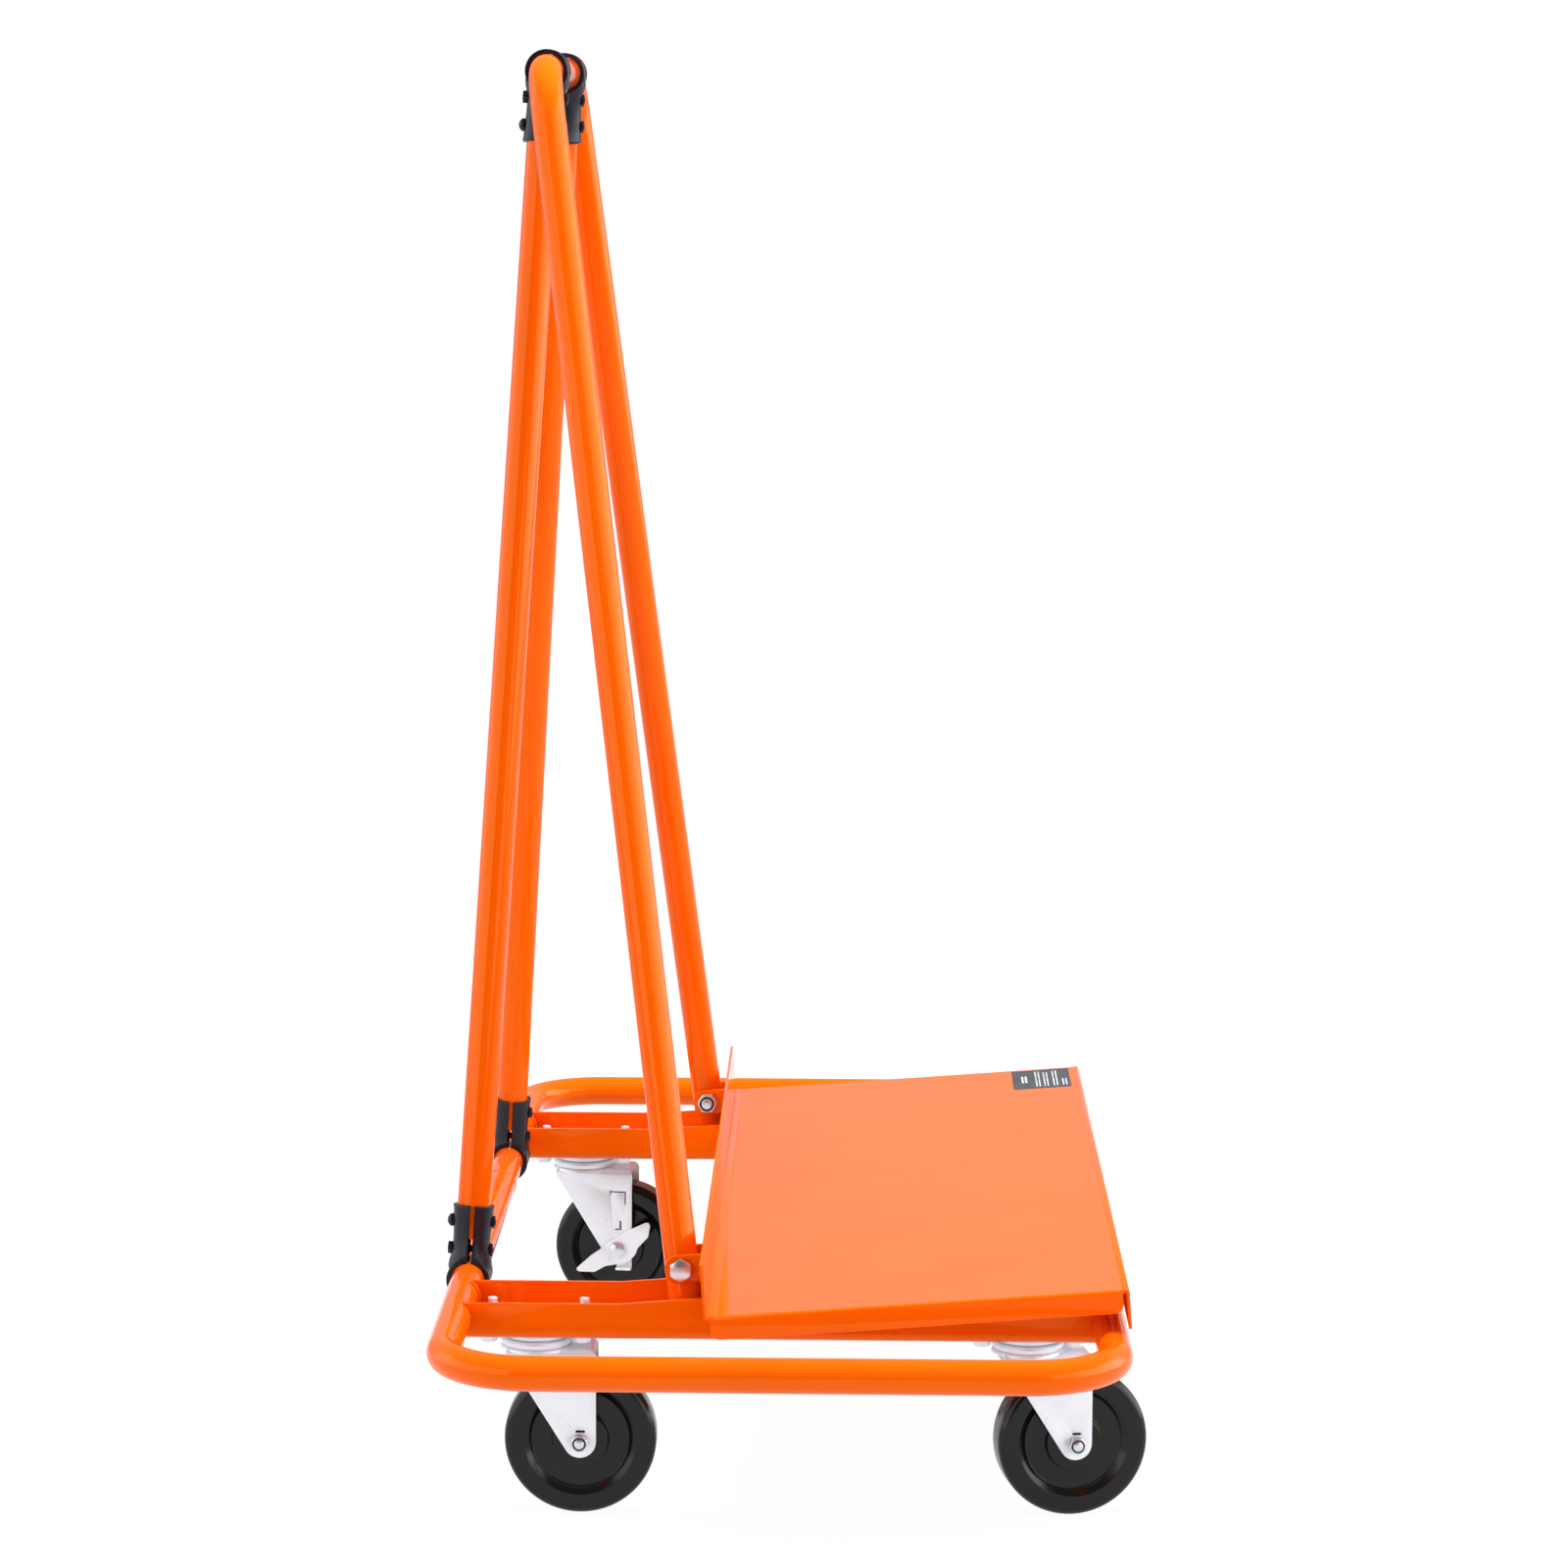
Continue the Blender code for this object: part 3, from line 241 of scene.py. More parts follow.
def moulded(name, low, high, roughness, ior):
    """Moulded plastic: flow clouds, a fine grain and dust that dulls the gloss."""
    material, tree, shader, coords = new_material(name, IOR=ior)
    cloud = noise(tree, coords, 26.0, 4.0, 0.55)
    colour = mix_colour(tree, ramp(tree, cloud, 0.35, 0.7), low, high)
    tree.links.new(colour, shader.inputs["Base Color"])
    dust = noise(tree, coords, 120.0, 5.0, 0.7)
    gloss = ramp(tree, dust, 0.35, 0.75, roughness * 0.8, roughness * 1.5)
    tree.links.new(gloss, shader.inputs["Roughness"])
    fine = bump(tree, noise(tree, coords, 600.0, 2.0), 0.10, 0.0002)
    tree.links.new(fine, shader.inputs["Normal"])
    return material


ORANGE_GLOSS = (1.0, 0.62, 0.20)
ORANGE = powder_coat("orange_powder_coat", (0.83, 0.100, 0.0007), (0.86, 0.109, 0.0010),
                     roughness=0.055, peel=0.012, ior=1.5, tint=ORANGE_GLOSS)
BEAD = powder_coat("orange_weld_coat", (0.79, 0.092, 0.0007), (0.85, 0.105, 0.0010),
                   roughness=0.18, peel=0.06, ior=1.5, tint=ORANGE_GLOSS)
STEEL = powder_coat("black_pressed_steel", (0.006, 0.006, 0.012), (0.010, 0.010, 0.018),
                    roughness=0.27, peel=0.08, ior=1.38)
ZINC = plated("zinc_plate", (0.80, 0.84, 0.90), (0.85, 0.89, 0.95),
              roughness=0.30, brush=(1, 1, 3), metallic=0.35)
ZINC_SMALL = plated("zinc_fasteners", (0.68, 0.70, 0.74), (0.78, 0.80, 0.84),
                    roughness=0.24, brush=(1, 1, 1), metallic=0.85)
BLACK = moulded("black_wheel_moulding", (0.0026, 0.0024, 0.0030), (0.0042, 0.0038, 0.0046),
                roughness=0.17, ior=1.40)
INSERT = moulded("nut_insert_nylon", (0.006, 0.007, 0.020), (0.010, 0.012, 0.030),
                 roughness=0.35, ior=1.5)
NYLON = moulded("bushing_nylon", (0.46, 0.46, 0.44), (0.58, 0.58, 0.55), roughness=0.45, ior=1.5)
LABEL = moulded("label_film", (0.040, 0.044, 0.052), (0.052, 0.056, 0.066), roughness=0.34, ior=1.4)
LABEL_BAR = moulded("label_bars", (0.46, 0.47, 0.49), (0.56, 0.57, 0.59), roughness=0.36, ior=1.4)


# -------------------------------------------------------------- mesh makers

def piece(name, mesh, material, body, slot, *replaced):
    """A finished mesh as an object that rides on a body and stands for CAD nodes."""
    obj = bpy.data.objects.new(name, mesh)
    bpy.context.scene.collection.objects.link(obj)
    if not mesh.materials:
        mesh.materials.append(material)
    mesh.shade_smooth()
    mesh.set_sharp_from_angle(angle=SHARP)
    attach(obj, body)
    if replaced:
        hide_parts(*replaced)
    return obj


def mesh_of(name, verts, faces):
    mesh = bpy.data.meshes.new(name)
    mesh.from_pydata([tuple(v) for v in verts], [], faces)
    bm = bmesh.new()
    bm.from_mesh(mesh)
    bmesh.ops.remove_doubles(bm, verts=bm.verts, dist=1e-6)
    bmesh.ops.dissolve_degenerate(bm, edges=bm.edges, dist=1e-7)
    bmesh.ops.recalc_face_normals(bm, faces=bm.faces)
    bm.to_mesh(mesh)
    bm.free()
    return mesh


def merged(name, meshes):
    """Several meshes as one, each keeping its own surface."""
    bm = bmesh.new()
    for mesh in meshes:
        bm.from_mesh(mesh)
    out = bpy.data.meshes.new(name)
    bm.to_mesh(out)
    bm.free()
    return out


def moved(mesh, matrix):
    copy = mesh.copy()
    copy.transform(matrix)
    return copy


def boolean(base, tools, operation="DIFFERENCE"):
    """The base mesh with the tool meshes cut from it, joined to it or kept inside it."""
    temp = []
    host = bpy.data.objects.new("host", base)
    bpy.context.scene.collection.objects.link(host)
    temp.append(host)
    for tool in tools:
        helper = bpy.data.objects.new("tool", tool)
        bpy.context.scene.collection.objects.link(helper)
        temp.append(helper)
        modifier = host.modifiers.new("cut", "BOOLEAN")
        modifier.operation = operation
        modifier.object = helper
    depsgraph = bpy.context.evaluated_depsgraph_get()
    mesh = bpy.data.meshes.new_from_object(host.evaluated_get(depsgraph))
    for obj in temp:
        bpy.data.objects.remove(obj, do_unlink=True)
    return mesh


def bevelled(mesh, width, segments, angle):
    """The mesh with its edges sharper than the angle in degrees eased."""
    obj = bpy.data.objects.new("host", mesh)
    bpy.context.scene.collection.objects.link(obj)
    modifier = obj.modifiers.new("edge", "BEVEL")
    modifier.width = width
    modifier.segments = segments
    modifier.limit_method = "ANGLE"
    modifier.angle_limit = math.radians(angle)
    depsgraph = bpy.context.evaluated_depsgraph_get()
    out = bpy.data.meshes.new_from_object(obj.evaluated_get(depsgraph))
    bpy.data.objects.remove(obj, do_unlink=True)
    return out


def lathe(rings, count=64, closed=False):
    """Rings of (radius, height), each a number or a function of the angle, joined about local Z."""
    verts, faces = [], []
    for radius, height in rings:
        for i in range(count):
            angle = 2 * math.pi * i / count
            r = radius(angle) if callable(radius) else radius
            z = height(angle) if callable(height) else height
            verts.append((r * math.cos(angle), r * math.sin(angle), z))
    last = len(rings) - 1
    pairs = list(zip(range(last), range(1, last + 1))) + ([(last, 0)] if closed else [])
    for a, b in pairs:
        for i in range(count):
            j = (i + 1) % count
            faces.append((a * count + i, a * count + j, b * count + j, b * count + i))
    if not closed:
        faces.append(tuple(range(count)))
        faces.append(tuple(last * count + i for i in range(count)))
    return mesh_of("lathe", verts, faces)


def cylinder(radius, low, high, count=40):
    return lathe([(radius, low), (radius, high)], count)


def arc(centre, radius, start, end, steps):
    """Points (r, z) on an arc, with the angles in degrees."""
    return [(centre[0] + radius * math.cos(math.radians(start + (end - start) * i / steps)),
             centre[1] + radius * math.sin(math.radians(start + (end - start) * i / steps)))
            for i in range(steps + 1)]


def hex_r(radius):
    """A hexagon's outline as a radius for each angle, with its corners at the given radius."""
    apothem = radius * math.cos(math.pi / 6)
    return lambda a: apothem / math.cos((a % (math.pi / 3)) - math.pi / 6)


def hex_body(radius, low, high, bore=0.0, both=False):
    """A hexagon with its corners turned off at the top, and at the bottom if both is set."""
    side = hex_r(radius)
    flat = radius * math.cos(math.pi / 6) * 0.97
    slope = math.tan(math.radians(30.0))
    top = [(flat, high), (side, lambda a: high - (side(a) - flat) * slope)]
    foot = ([(side, lambda a: low + (side(a) - flat) * slope), (flat, low)] if both
            else [(side, low)])
    rings = top + foot
    if bore:
        rings = [(bore, high)] + rings + [(bore, low)]
        return lathe(rings, 72, closed=True)
    return lathe(rings, 72)


def thread(radius, low, high, pitch, count=40):
    """A turned thread with a rounded-off tip at the top."""
    depth = 0.54 * pitch

    def wave(z):
        def r(angle):
            phase = (z / pitch - angle / (2 * math.pi)) % 1.0
            return radius - depth * abs(2 * phase - 1)
        return r
    rings = [(radius - depth, low)]
    steps = max(6, int((high - low) / pitch * 8))
    for i in range(steps + 1):
        z = low + (high - low) * i / steps
        rings.append((wave(z), z))
    rings += [(radius * 0.72, high + 0.25 * pitch)]
    return lathe(rings, count)


def washer(inner, outer, low, high):
    ease = 0.2 * (high - low)
    return lathe([(inner, low), (outer - ease, low), (outer, low + ease), (outer, high - ease),
                  (outer - ease, high), (inner, high)], 64, closed=True)


def rounded(corners, radii, closed, steps=10):
    """Points along straight runs, with an arc of the given radius at each corner."""
    corners = [Vector(c).to_3d() for c in corners]
    path = []
    for i, corner in enumerate(corners):
        radius = radii[i] if isinstance(radii, (list, tuple)) else radii
        if radius == 0 or (not closed and i in (0, len(corners) - 1)):
            path.append(corner)
            continue
        back = (corners[i - 1] - corner).normalized()
        ahead = (corners[(i + 1) % len(corners)] - corner).normalized()
        half = back.angle(ahead) / 2
        centre = corner + (back + ahead).normalized() * radius / math.sin(half)
        first = corner + back * radius / math.tan(half) - centre
        last = corner + ahead * radius / math.tan(half) - centre
        side = (last - first * (first.dot(last) / radius ** 2)).normalized() * radius
        sweep = math.pi - 2 * half
        for step in range(steps + 1):
            angle = sweep * step / steps
            path.append(centre + first * math.cos(angle) + side * math.sin(angle))
    return path


def transport(path, closed):
    """Two directions across each point of a path that turn as little as possible."""
    count = len(path)
    tangents = []
    for i in range(count):
        before = path[i - 1] if (closed or i) else path[0]
        after = path[(i + 1) % count] if (closed or i < count - 1) else path[-1]
        first = path[i] - before
        second = after - path[i]
        if first.length < 1e-9:
            first = second
        if second.length < 1e-9:
            second = first
        tangents.append((first.normalized() + second.normalized()).normalized())
    normal = tangents[0].orthogonal().normalized()
    out = []
    for i, tangent in enumerate(tangents):
        if i:
            turn = tangents[i - 1].rotation_difference(tangent)
            normal = turn @ normal
        normal = (normal - tangent * normal.dot(tangent)).normalized()
        out.append((normal.copy(), tangent.cross(normal)))
    return out


def sweep(path, radius_at, sides, closed):
    """Round sections along a path; radius_at gives the radius at each point."""
    verts, faces = [], []
    for i, (point, (a, b)) in enumerate(zip(path, transport(path, closed))):
        for s in range(sides):
            angle = 2 * math.pi * s / sides
            r = radius_at(i)
            verts.append(point + a * r * math.cos(angle) + b * r * math.sin(angle))
    spans = len(path) if closed else len(path) - 1
    for i in range(spans):
        j = (i + 1) % len(path)
        for s in range(sides):
            t = (s + 1) % sides
            faces.append((i * sides + s, i * sides + t, j * sides + t, j * sides + s))
    return verts, faces


def tube(name, path, closed=False, radius=TUBE_R, wall=TUBE_WALL, sides=48):
    """A bent tube with real wall thickness and eased cut ends; a closed one has its outer skin only."""
    if closed:
        verts, faces = sweep(path, lambda i: radius, sides, True)
        return mesh_of(name, verts, faces)
    ease = 0.25 * MM
    first = (path[1] - path[0]).normalized() * ease
    last = (path[-2] - path[-1]).normalized() * ease
    outer = [path[0]] + [path[0] + first] + path[1:-1] + [path[-1] + last] + [path[-1]]
    n = len(outer)
    out_v, out_f = sweep(outer, lambda i: radius - (ease if i in (0, n - 1) else 0), sides, False)
    in_v, in_f = sweep([path[0]] + path[1:-1] + [path[-1]], lambda i: radius - wall, sides, False)
    base = len(out_v)
    faces = out_f + [tuple(base + k for k in f) for f in in_f]
    m = len(path)
    for s in range(sides):
        t = (s + 1) % sides
        faces.append((s, t, base + t, base + s))
        top, inner_top = (n - 1) * sides, base + (m - 1) * sides
        faces.append((top + s, top + t, inner_top + t, inner_top + s))
    return mesh_of(name, out_v + in_v, faces)


def dense(path, step):
    """The path with extra points, evenly spaced."""
    out = [Vector(path[0])]
    for a, b in zip(path, path[1:]):
        count = max(1, int(round((b - a).length / step)))
        out += [a.lerp(b, k / count) for k in range(1, count + 1)]
    return out


def weld(path, radius, pitch=1.9 * MM, sides=14):
    """A weld bead: overlapping ripples along a path, tapered at both ends."""
    path = dense([Vector(p) for p in path], 0.45 * MM)
    count = len(path)
    run = [0.0]
    for a, b in zip(path, path[1:]):
        run.append(run[-1] + (b - a).length)

    def at(i):
        ends = min(1.0, (0.25 * radius + min(run[i], run[-1] - run[i])) / (1.6 * radius))
        ripple = 1.0 - 0.16 * abs(math.sin(math.pi * run[i] / pitch)) ** 3
        drift = 1.0 + 0.07 * math.sin(run[i] / (3.1 * pitch) + 1.3)
        return radius * math.sqrt(ends) * ripple * drift
    verts, faces = sweep(path, at, sides, False)
    faces.append(tuple(range(sides)))
    faces.append(tuple((count - 1) * sides + k for k in range(sides)))
    return mesh_of("weld", verts, faces)


def slab(outline, low, high):
    """A flat outline in local XY between two heights."""
    n = len(outline)
    verts = [(p[0], p[1], low) for p in outline] + [(p[0], p[1], high) for p in outline]
    faces = [tuple(range(n)), tuple(range(n, 2 * n))]
    faces += [(i, (i + 1) % n, n + (i + 1) % n, n + i) for i in range(n)]
    return mesh_of("slab", verts, faces)


def box_mesh(low, high):
    x0, y0, z0 = low
    x1, y1, z1 = high
    verts = [(x, y, z) for z in (z0, z1) for x, y in ((x0, y0), (x1, y0), (x1, y1), (x0, y1))]
    faces = [(0, 1, 2, 3), (4, 5, 6, 7), (0, 1, 5, 4), (1, 2, 6, 5), (2, 3, 7, 6), (3, 0, 4, 7)]
    return mesh_of("box", verts, faces)


def thick_path(points, gauge):
    """A 2-D line thickened to its right by the gauge, as a closed outline."""
    pts = [Vector((p[0], p[1])) for p in points]
    outer, inner = [], []
    for i, p in enumerate(pts):
        before = pts[i] - pts[i - 1] if i else pts[1] - pts[0]
        after = pts[i + 1] - pts[i] if i < len(pts) - 1 else before
        a, b = before.normalized(), after.normalized()
        mean = (a + b).normalized()
        right = Vector((mean.y, -mean.x))
        scale = gauge / max(0.3, right.dot(Vector((a.y, -a.x))))
        outer.append(p)
        inner.append(p + right * scale)
    return outer + inner[::-1]


def deck_matrix(y):
    """Local X up the deck's slope, local Y out of its face, local Z along -Y."""
    return (Matrix.Translation(DECK_ORIGIN + Vector((0, y, 0)))
            @ Matrix.Rotation(-DECK_SLOPE, 4, "Y") @ UPRIGHT)


def deck_at(u, y, w):
    return DECK_ORIGIN + DECK_U * u + Vector((0, y, 0)) + DECK_W * w


# ---------------------------------------------------------------- base frame

def make_ring():
    corners = [(CX + RING_X, -RING_Y, RING_Z), (CX + RING_X, RING_Y, RING_Z),
               (CX - RING_X, RING_Y, RING_Z), (CX - RING_X, -RING_Y, RING_Z)]
    path = rounded(corners, RING_CORNER_R, True, 18)
    ring = tube("base_ring_tube", path, closed=True, sides=56)
    drain = moved(cylinder(3.0 * MM, -6 * MM, 6 * MM, 32),
                  Matrix.Translation((CX, -RING_Y, RING_Z - TUBE_R)))
    piece("base_ring_tube", boolean(ring, [drain]), ORANGE, "frame", "orange_powder_coat", "base_ring")
    seam = []
    seam_r = TUBE_R - 0.7 * MM
    for k in range(41):
        a = math.radians(180 + 9 * k)
        seam.append((CX - RING_X + seam_r * math.cos(a), 118 * MM, RING_Z + seam_r * math.sin(a)))
    piece("base_ring_butt_weld", weld(seam, 1.3 * MM, 1.6 * MM), BEAD, "frame", "orange_powder_coat")


def deck_underside(x):
    below = DECK_ORIGIN - DECK_W * DECK_GAUGE
    return below.z + (x - below.x) * math.tan(DECK_SLOPE)


def make_channel(name, end):
    """A channel with its ends coped to the ring tube, its plate bolt holes and its welds."""
    low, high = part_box(f"cross_channel_{name}")
    y = end * CHANNEL_Y
    floor = low.z + CHANNEL_GAUGE
    half = CHANNEL_WIDTH / 2
    reach = RING_X - CHANNEL_END_IN_TUBE
    top = high.z + 2 * MM
    in_middle = Matrix.Translation((CX, y, 0))
    line = rounded([(-half, top), (-half, low.z), (half, low.z), (half, top)], 4.2 * MM, False, 8)
    section = thick_path(line[::-1], -CHANNEL_GAUGE)
    body = moved(slab(section, -reach, reach), in_middle @ ALONG_X)
    level = RING_Z + TUBE_R - 0.5 * MM

    def support(x):
        return deck_underside(CX + x) - 0.3 * MM
    kink = (level - support(0.0)) / math.tan(DECK_SLOPE)
    over = [(-RING_X, level), (kink, level), (RING_X, support(RING_X)), (RING_X, top + 40 * MM),
            (-RING_X, top + 40 * MM)]
    tools = [moved(slab(over, -half - 9 * MM, half + 9 * MM), in_middle @ UPRIGHT)]
    for side in (-1, 1):
        cope = cylinder(TUBE_R + 0.1 * MM, -CUT, CUT, 64)
        tools.append(moved(cope, Matrix.Translation((CX + side * RING_X, y, RING_Z)) @ UPRIGHT))
        swivel = JOINTS[f"swivel_{name}_{'back' if side < 0 else 'load'}"]["pos_m"]
        for dx in (-PLATE_BOLT_X, PLATE_BOLT_X):
            for dy in (-PLATE_BOLT_Y, PLATE_BOLT_Y):
                hole = cylinder(4.5 * MM, -9 * MM, 9 * MM, 32)
                tools.append(moved(hole, Matrix.Translation((swivel[0] + dx, y + dy, low.z))))
    mesh = bevelled(boolean(body, tools), 0.35 * MM, 2, 50)
    piece(f"cross_channel_{name}_pressing", mesh, ORANGE, "frame", "orange_powder_coat",
          f"cross_channel_{name}")
    beads = []
    wall_r = TUBE_R + 0.6 * MM
    for side in (-1, 1):
        axis = CX + side * RING_X
        top_z = level if side < 0 else min(support(RING_X - 10 * MM), RING_Z + TUBE_R * 0.9)
        for face in (-1, 1):
            for skin in (half + 0.2 * MM, half - CHANNEL_GAUGE - 0.2 * MM):
                run = []
                for k in range(13):
                    z = low.z + 2.6 * MM + (top_z - low.z - 3.0 * MM) * k / 12
                    dx = math.sqrt(max(0.0, wall_r * wall_r - (z - RING_Z) ** 2))
                    run.append((axis - side * dx, y + face * skin, z))
                beads.append(weld(run, 1.5 * MM))
        z = floor + 0.4 * MM
        x = axis - side * math.sqrt((TUBE_R + 0.5 * MM) ** 2 - (z - RING_Z) ** 2)
        beads.append(weld([(x, y - half + 8 * MM, z), (x, y + half - 8 * MM, z)], 2.2 * MM))
    for face in (-1, 1):
        for start in (-20.0, 70.0, 170.0):
            run = []
            for k in range(0, 33, 4):
                x = (start + k) * MM
                run.append((CX + x, y + face * (half + 0.4 * MM), support(x) - 0.4 * MM))
            beads.append(weld(run, 1.9 * MM))
    piece(f"cross_channel_{name}_welds", merged("welds", beads), BEAD, "frame", "orange_powder_coat")


def make_deck():
    """The folded sheet in five runs that meet along its folds: the flat, two long and two end ones."""
    half = DECK_LENGTH / 2
    load = DECK_WIDTH
    fold = DECK_FOLD_R
    steps = 10
    left = rounded([(0, DECK_UPSTAND), (0, 0), (2 * fold, 0)], fold - DECK_GAUGE, False, steps)
    right = rounded([(load - 2 * fold, 0), (load, 0), (load, -DECK_LOAD_FLANGE)], fold, False, steps)
    runs = []
    for section in (thick_path(left[::-1], -DECK_GAUGE), thick_path(right, DECK_GAUGE)):
        runs.append(bevelled(moved(slab(section, -half, half), deck_matrix(0.0)), 0.3 * MM, 2, 60))
    flat = [(2 * fold, 0), (load - 2 * fold, 0), (load - 2 * fold, -DECK_GAUGE), (2 * fold, -DECK_GAUGE)]
    runs.append(moved(slab(flat, -half + 2 * fold, half - 2 * fold), deck_matrix(0.0)))
    u0, u1 = 2.5 * MM, load - DECK_GAUGE - 3.0 * MM
    line = rounded([(half - 2 * fold, 0), (half, 0), (half, -DECK_END_FLANGE)], fold, False, steps)
    blank = slab(thick_path(line, DECK_GAUGE), u0, u1)
    outline = rounded([(u0 - 1e-4, 9 * MM), (u0 - 1e-4, -DECK_END_FLANGE), (u1 + 1e-4, -DECK_END_FLANGE),
                       (u1 + 1e-4, 9 * MM)], [0, 8 * MM, 8 * MM, 0], True, 8)
    keep = slab(outline, -half - 5 * MM, half + 5 * MM)
    for end in (-1, 1):
        local = moved(blank, Matrix(((0, 0, 1, 0), (0, 1, 0, 0), (-end, 0, 0, 0), (0, 0, 0, 1))))
        shaped = boolean(local, [keep.copy()], "INTERSECT")
        runs.append(bevelled(moved(shaped, deck_matrix(0.0)), 0.3 * MM, 2, 60))
    piece("deck_plate_folded", merged("deck", runs), ORANGE, "frame", "orange_powder_coat", "deck_plate")


def make_label():
    """A plain film label on the deck, with blank bars in place of any wording."""
    u1 = DECK_WIDTH - 11.0 * MM
    u0 = u1 - 56.0 * MM
    y1 = DECK_LENGTH / 2 - 6.0 * MM
    y0 = y1 - 92.0 * MM
    film_top, bar_top = 0.14 * MM, 0.19 * MM
    on_deck = Matrix.Translation(DECK_ORIGIN) @ Matrix.Rotation(-DECK_SLOPE, 4, "Y")

    def strip(a0, a1, b0, b1, low, high, corner):
        points = rounded([(a0, b0), (a1, b0), (a1, b1), (a0, b1)], corner, True, 5)
        return moved(slab(points, low, high), on_deck)

    def bar(at, width, b0, b1):
        u = u0 + at * (u1 - u0)
        return strip(u, u + width, b0, b1, film_top, bar_top, 0.3 * MM)
    film = strip(u0, u1, y0, y1, 0.0, film_top, 2.5 * MM)
    bars = []
    for at, low, high in ((0.40, 0.10, 0.90), (0.54, 0.10, 0.84), (0.70, 0.10, 0.90), (0.86, 0.10, 0.46)):
        for step in (0.0, 0.055):
            bars.append(bar(at + step, 1.2 * MM, y0 + low * (y1 - y0), y0 + high * (y1 - y0)))
    for at in (0.16, 0.22):
        bars.append(bar(at, 2.0 * MM, y0 + 30 * MM, y0 + 62 * MM))
    piece("label_film", film, LABEL, "frame", "orange_powder_coat")
    piece("label_bars", merged("bars", bars), LABEL_BAR, "frame", "orange_powder_coat")


def make_bracket(name, end):
    """The clevis behind the upstand with its eased edges and its welds."""
    y = end * HOOP_BOLT_Y
    web = -DECK_GAUGE - 0.1 * MM
    low_w, high_w = HOOP_BOLT_W - 11.5 * MM, HOOP_BOLT_W + 11.5 * MM
    ear_u = HOOP_BOLT_U - 13.0 * MM
    outline = rounded([(web, low_w), (web, high_w), (ear_u, high_w), (ear_u, low_w)],
                      [0, 0, 10 * MM, 10 * MM], True, 12)
    line = rounded([(ear_u - 5 * MM, -BRACKET_HALF), (web, -BRACKET_HALF), (web, BRACKET_HALF),
                    (ear_u - 5 * MM, BRACKET_HALF)], 5 * MM, False, 8)
    channel = slab(thick_path(line, -BRACKET_GAUGE), low_w - 5 * MM, high_w + 5 * MM)
    lie = Matrix(((1, 0, 0, 0), (0, 0, 1, 0), (0, 1, 0, 0), (0, 0, 0, 1)))
    keep = slab(outline, -BRACKET_HALF - 9 * MM, BRACKET_HALF + 9 * MM)
    shape = boolean(moved(channel, lie), [keep], "INTERSECT")
    hole = moved(cylinder(5.5 * MM, -CUT, CUT), Matrix.Translation((HOOP_BOLT_U, HOOP_BOLT_W, 0)))
    mesh = bevelled(boolean(shape, [hole]), 0.45 * MM, 2, 40)
    piece(f"leg_bracket_{name}_pressing", moved(mesh, deck_matrix(y)), ORANGE, "frame",
          "orange_powder_coat", f"leg_bracket_{name}")
    beads = []
    for side in (-1, 1):
        edge_y = y + side * (BRACKET_HALF - 1.5 * MM)
        beads.append(weld([deck_at(web - 0.6 * MM, edge_y, low_w + 1.5 * MM),
                           deck_at(web - 0.6 * MM, edge_y, high_w - 1.5 * MM)], 2.0 * MM))
    beads.append(weld([deck_at(web - 0.8 * MM, y - 13 * MM, high_w + 0.3 * MM),
                       deck_at(web - 0.8 * MM, y + 13 * MM, high_w + 0.3 * MM)], 1.9 * MM))
    piece(f"leg_bracket_{name}_welds", merged("welds", beads), BEAD, "frame", "orange_powder_coat")


# ------------------------------------------------------------------- A-frame

HOOP_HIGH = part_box("support_hoop")[1]
BAR_X = CX - 205.7 * MM
BAR_Z = HOOP_HIGH.z - TUBE_R
BAR_CORNER_Y = 182.0 * MM


def hoop_points(end):
    """The foot, the bolt and the bar corner on one leg's centre line."""
    bolt = deck_at(HOOP_BOLT_U, end * HOOP_BOLT_Y, HOOP_BOLT_W)
    corner = Vector((BAR_X, end * BAR_CORNER_Y, BAR_Z))
    direction = (bolt - corner).normalized()
    tilt = math.sqrt(direction.x ** 2 + direction.y ** 2)
    foot_z = 158.8 * MM + TUBE_R * tilt
    foot = bolt + direction * (bolt.z - foot_z) / -direction.z
    return foot, bolt, corner


def make_hoop():
    front, rear = hoop_points(-1), hoop_points(1)
    path = rounded([front[0], front[2], rear[2], rear[0]], HOOP_BEND_R, False, 26)
    piece("support_hoop_tube", tube("hoop", path, sides=56), ORANGE, "frame", "orange_powder_coat",
          "support_hoop")


def along(direction):
    """Turns local Z to a direction."""
    return Z_AXIS.rotation_difference(Vector(direction)).to_matrix().to_4x4()


